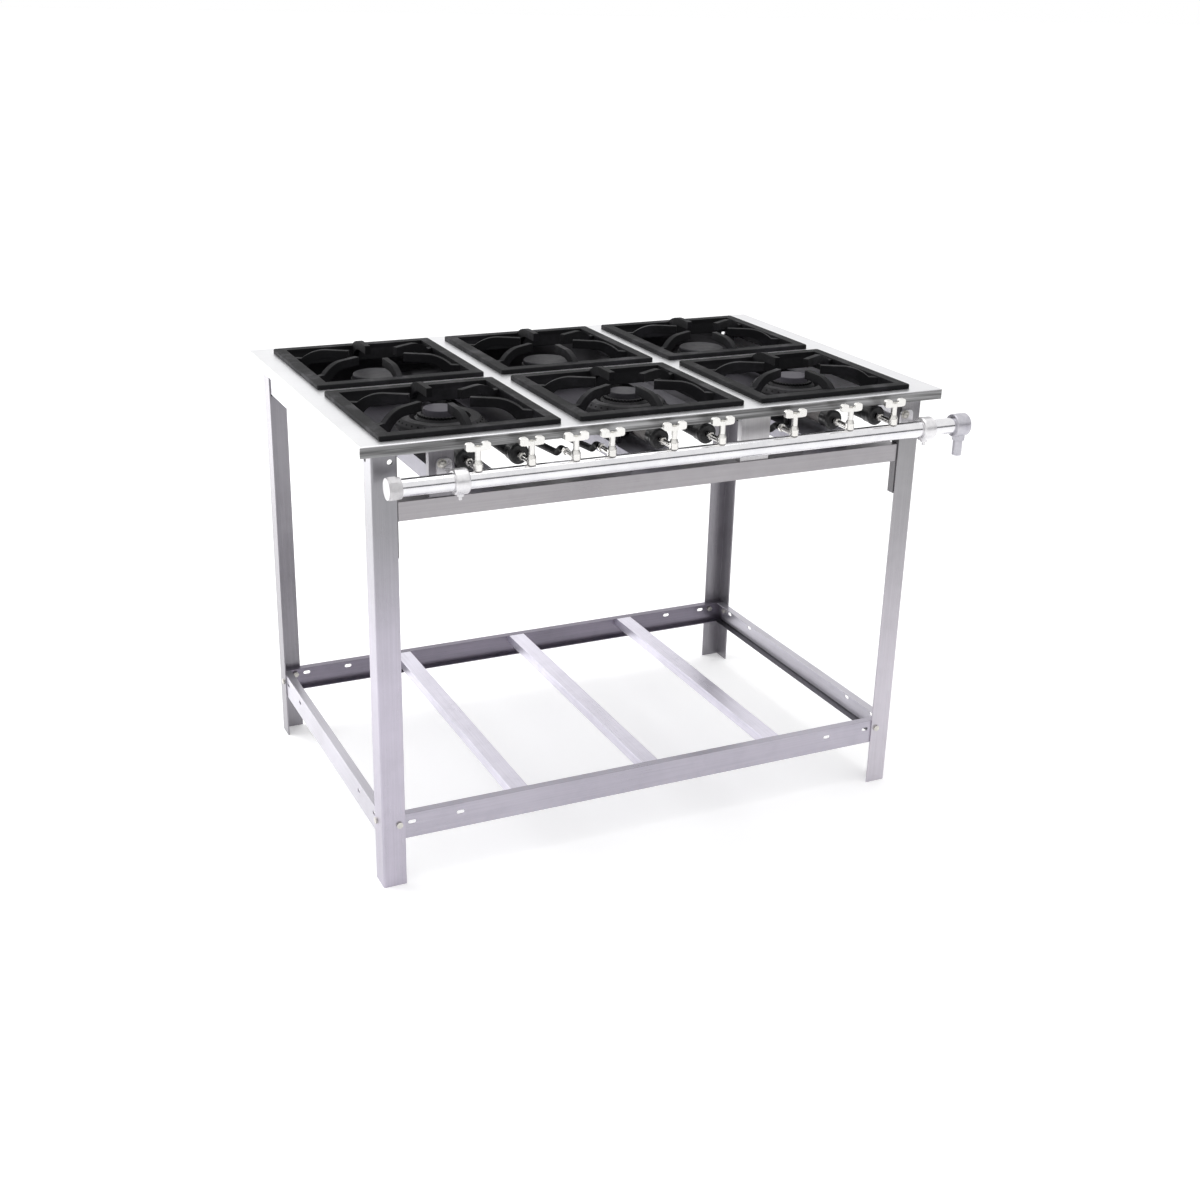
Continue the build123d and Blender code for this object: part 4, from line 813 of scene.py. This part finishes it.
@dataclass
class Castings:
    """Grates, burners and caps, with the toothed flame crowns and the rings' flame ports."""

    sides: tuple[str, ...] = ("left", "middle", "right")
    crown_radius: float = 0.0372
    crown_bore: float = 0.0304
    crown_height: float = 0.0042
    crown_slots: int = 40
    crown_sink: float = 0.0003
    slot_rim: float = 0.0003
    slot_depth: float = 0.0022
    bore_margin: float = 0.002
    ring_width: float = 0.146
    tube_start: float = 0.002
    tube_top: float = 0.7495
    port_radius: float = 0.0016
    port_depth: float = 0.0009
    port_circle: float = 0.0690
    port_drop: float = 0.0040
    port_count: int = 36
    port_sides: int = 12
    port_tilt: float = 45.0
    port_rim: float = 0.3
    port_sink: float = 0.4

    def build(self, nodes: Mapping[str, bpy.types.Object]) -> None:
        """Dress the cast nodes and add the crowns and ports.

        Args:
            nodes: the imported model's objects by name.
        """
        ring_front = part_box("outer_burner_middle")[1].y - self.ring_width
        ring = CastIron(
            "ring_iron", (0.022, 0.0215, 0.023), (0.055, 0.053, 0.058), 0.4, 0.58, 0.4,
            tube_front=ring_front - self.tube_start, tube_top=self.tube_top,
        )
        bowl = CastIron("bowl_iron", (0.012, 0.012, 0.013), (0.032, 0.031, 0.033), 0.44, 0.62, 0.3)
        head = CastIron("head_iron", (0.011, 0.011, 0.012), (0.03, 0.029, 0.031), 0.42, 0.6, 0.3)
        dress(nodes, [n for n in nodes if n.startswith("grate_")], CastIron("grate_iron").material())
        dress(nodes, [n for n in nodes if n.startswith("outer_burner")], ring.material())
        dress(nodes, [n for n in nodes if n.startswith("rear_burner")], bowl.material())
        dress(nodes, [n for n in nodes if n.startswith("inner_burner")], head.material())
        caps = {
            "inner_cap": SmoothMetal(
                "front_cap", (0.075, 0.071, 0.084), (0.05, 0.047, 0.056), 0.42, 0.58, 0.25, shine=0.1
            ),
            # painted shade: the middle cap is a darker copy of the front caps' metal
            "inner_cap_middle": SmoothMetal(
                "shaded_middle_cap", (0.045, 0.043, 0.05), (0.028, 0.027, 0.031), 0.42, 0.58, 0.2, shine=0.1
            ),
            "rear_cap": SmoothMetal(
                "rear_cap", (0.026, 0.025, 0.029), (0.015, 0.0145, 0.017), 0.42, 0.58, 0.2, shine=0.15
            ),
        }
        for start, finish in caps.items():
            dress(nodes, [n for n in nodes if n.startswith(start)], finish.material())
        self._crowns(head.material())
        self._ports()

    def _centre(self, node: str) -> Vector:
        """Return the middle of a node's box."""
        low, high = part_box(node)
        return (low + high) / 2

    def _crowns(self, material: bpy.types.Material) -> None:
        """Model one toothed crown round the seat of a front cap and copy it to the others.

        Args:
            material: the inner heads' material.
        """
        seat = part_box("inner_burner_left")[1].z
        start = self._centre("inner_cap_left")
        centre = (start.x, start.y, seat - self.crown_sink + self.crown_height / 2)
        crown = Workshop.drum(
            "flame_crown_left", 2 * self.crown_slots, self.crown_radius, self.crown_height, centre
        )
        Workshop.pick(crown, lambda face: abs(face.normal.z) > FACING)
        bpy.ops.mesh.inset(thickness=self.crown_radius - self.crown_bore, depth=0.0)
        bpy.ops.mesh.bridge_edge_loops()

        def slotted(face: bmesh.types.BMFace) -> bool:
            """Tell every second outer side face.

            Args:
                face: a face of the crown.

            Returns:
                True where a slot goes in.
            """
            spot = face.calc_center_median()
            outer = Vector((spot.x, spot.y)).length > self.crown_bore + self.bore_margin
            turn = math.atan2(spot.y, spot.x) / (2 * math.pi) * 2 * self.crown_slots
            return abs(face.normal.z) < 1 - FACING and outer and round(turn - 0.5) % 2 == 0

        LOG.info("crown slots %d", Workshop.pick(crown, slotted))
        bpy.ops.mesh.inset(thickness=self.slot_rim, depth=-self.slot_depth, use_individual=True)
        Workshop.settle(crown)
        Workshop.place(crown, "stove", "head_iron", [material])
        for side in self.sides[1:]:
            shift = self._centre(f"inner_cap_{side}") - start
            copy = Workshop.copy_to(crown, f"flame_crown_{side}", shift)
            Workshop.place(copy, "stove", "head_iron", [material])

    def _ports(self) -> None:
        """Model one circle of flame ports on the left outer ring's slope and copy it to the other rings."""
        # painted shade with soot: the ports' shallow recesses are nearly black, standing in for the depth of
        # the holes
        soot_and_shade = CastIron(
            "port_soot_and_shade", (0.004, 0.004, 0.004), (0.012, 0.011, 0.011), 0.6, 0.8, 0.0, edge=0.0
        ).material()
        start = self._ring_centre("left")
        hub = Vector((start.x, start.y, self._ring_top() - self.port_drop))
        bpy.ops.object.select_all(action="DESELECT")
        bpy.ops.mesh.primitive_cylinder_add(
            vertices=self.port_sides, radius=self.port_radius, depth=self.port_depth, end_fill_type="NGON",
            location=hub + Vector((self.port_circle, 0.0, 0.0)),
            rotation=(0.0, math.radians(self.port_tilt), 0.0),
        )
        first = bpy.context.object
        first.name = "flame_ports_left"
        bpy.ops.object.mode_set(mode="EDIT")
        bpy.ops.mesh.select_mode(type="FACE")
        Workshop.pick(first, lambda face: face.normal.z > FACING)
        rim, sink = self.port_radius * self.port_rim, self.port_depth * self.port_sink
        bpy.ops.mesh.inset(thickness=rim, depth=-sink)
        bpy.ops.object.mode_set(mode="OBJECT")
        bpy.ops.object.transform_apply(location=True, rotation=True, scale=True)
        for number in range(1, self.port_count):
            turn = Matrix.Rotation(2 * math.pi * number / self.port_count, 4, "Z")
            port = first.copy()
            port.data = first.data.copy()
            port.data.transform(Matrix.Translation(hub) @ turn @ Matrix.Translation(-hub))
            bpy.context.scene.collection.objects.link(port)
            port.select_set(True)
        first.select_set(True)
        bpy.context.view_layer.objects.active = first
        bpy.ops.object.join()
        bpy.ops.object.shade_smooth_by_angle(angle=math.radians(35))
        Workshop.place(first, "stove", "burner_iron", [soot_and_shade])
        for side in self.sides[1:]:
            copy = Workshop.copy_to(first, f"flame_ports_{side}", self._ring_centre(side) - start)
            Workshop.place(copy, "stove", "burner_iron", [soot_and_shade])

    def _ring_top(self) -> float:
        """Return the height of the outer rings' tops."""
        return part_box("outer_burner_left")[1].z

    def _ring_centre(self, side: str) -> Vector:
        """Return the middle of an outer ring, which stands round the inner cap."""
        return self._centre(f"inner_cap_{side}")


@dataclass
class GasFront:
    """Gas pipe, its fittings, the valves and the air bells, with the handle screws."""

    screw_radius: float = 0.0029
    screw_height: float = 0.0014
    wing_rise: float = 0.0065
    screw_sides: int = 24
    screw_sink: float = 0.0003
    screw_edge: float = 0.0003
    socket_rim: float = 0.45
    socket_wall: float = 0.0001
    socket_depth: float = 0.5
    finishes: dict[str, Any] = field(
        default_factory=lambda: {
            "pipe": SmoothMetal("chromed_pipe", (0.83, 0.825, 0.84), (0.74, 0.735, 0.76), 0.08, 0.18, 1.0),
            "fitting": SmoothMetal(
                "cast_fitting", (0.60, 0.59, 0.63), (0.42, 0.41, 0.46), 0.3, 0.46, 0.8, 0.0, 90.0,
            ),
            "cap": SmoothMetal(
                "cast_end_cap", (0.62, 0.61, 0.62), (0.46, 0.45, 0.465), 0.46, 0.62, 0.6, 0.0, 110.0, 0.2
            ),
            "clamp": SmoothMetal(
                "cast_clamp", (0.84, 0.83, 0.84), (0.66, 0.65, 0.67), 0.26, 0.42, 0.8, 0.0, 90.0,
            ),
            "bell": SmoothMetal(
                "black_bell", (0.016, 0.016, 0.017), (0.009, 0.009, 0.01), 0.36, 0.52, 0.1, 0.15, 200.0
            ),
            "valve": SmoothMetal("nickel_valve", (0.88, 0.865, 0.835), (0.74, 0.725, 0.70), 0.2, 0.34, 1.0),
            "handle": SmoothMetal("nickel_handle", (0.90, 0.89, 0.865), (0.78, 0.77, 0.745), 0.24, 0.38, 1.0),
            "bolt": SmoothMetal(
                "zinc_bolt", (0.7, 0.68, 0.63), (0.5, 0.49, 0.46), 0.28, 0.42, 1.0, 0.0, 200.0,
            ),
        }
    )
    groups: dict[str, tuple[str, ...]] = field(
        default_factory=lambda: {
            "pipe": ("gas_pipe",),
            "fitting": ("gas_inlet",),
            "cap": ("pipe_end_cap",),
            "clamp": ("pipe_clamp_left", "pipe_clamp_right"),
            "bell": ("air_bells",),
            "valve": ("valve_bodies",),
            "handle": tuple(f"valve_handle_{number}" for number in range(1, 10)),
            "bolt": ("frame_bolts", "dome_nuts"),
        }
    )

    def build(self, nodes: Mapping[str, bpy.types.Object]) -> None:
        """Dress the gas nodes and add the small pieces.

        Args:
            nodes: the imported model's objects by name.
        """
        made = {}
        for key, names in self.groups.items():
            made[key] = self.finishes[key].material()
            dress(nodes, names, made[key])
        self._screws(made["bolt"])

    def _top_of(self, number: int) -> Vector:
        """Return the middle of the top of a handle's hub."""
        low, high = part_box(f"valve_handle_{number}")
        return Vector(((low.x + high.x) / 2, (low.y + high.y) / 2, high.z))

    def _hub_top(self, number: int) -> Vector:
        """Return the hub's top, which lies lower than the wings."""
        top = self._top_of(number)
        return Vector((top.x, top.y, top.z - self.wing_rise))

    def _screws(self, material: bpy.types.Material) -> None:
        """Model one socket screw on the first handle's hub and copy it to the others.

        Args:
            material: the bolts' material.
        """
        start = self._hub_top(1)
        centre = (start.x, start.y, start.z + self.screw_height / 2 - self.screw_sink)
        sides, radius = self.screw_sides, self.screw_radius
        screw = Workshop.drum("handle_screw_1", sides, radius, self.screw_height, centre)
        Workshop.pick(screw, lambda face: face.normal.z > FACING)
        bpy.ops.mesh.inset(thickness=self.screw_radius * self.socket_rim, depth=0.0)
        bpy.ops.mesh.inset(thickness=self.socket_wall, depth=-self.screw_height * self.socket_depth)
        Workshop.settle(screw, self.screw_edge, 2)
        Workshop.place(screw, "valve_handle_1", "bolt_zinc", [material])
        for number in range(2, 10):
            copy = Workshop.copy_to(screw, f"handle_screw_{number}", self._hub_top(number) - start)
            Workshop.place(copy, f"valve_handle_{number}", "bolt_zinc", [material])


def dress(nodes: Mapping[str, bpy.types.Object], names: Sequence[str], material: bpy.types.Material) -> None:
    """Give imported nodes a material.

    Args:
        nodes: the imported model's objects by name.
        names: the nodes to dress.
        material: their new material.
    """
    for name in names:
        piece = nodes[name]
        piece.data.materials.clear()
        piece.data.materials.append(material)
        LOG.info("dressed %s with %s", name, material.name)


def main() -> None:
    """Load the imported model, dress it and set the studio and the camera."""
    logging.basicConfig(level=logging.INFO, format="%(name)s %(message)s")
    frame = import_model()
    bpy.ops.object.select_all(action="DESELECT")
    PhotoCamera().build()
    Studio().build()
    nodes = frame["nodes"]
    for assembly in (Steelwork(), Castings(), GasFront()):
        assembly.build(nodes)


if __name__ == "__main__":
    main()
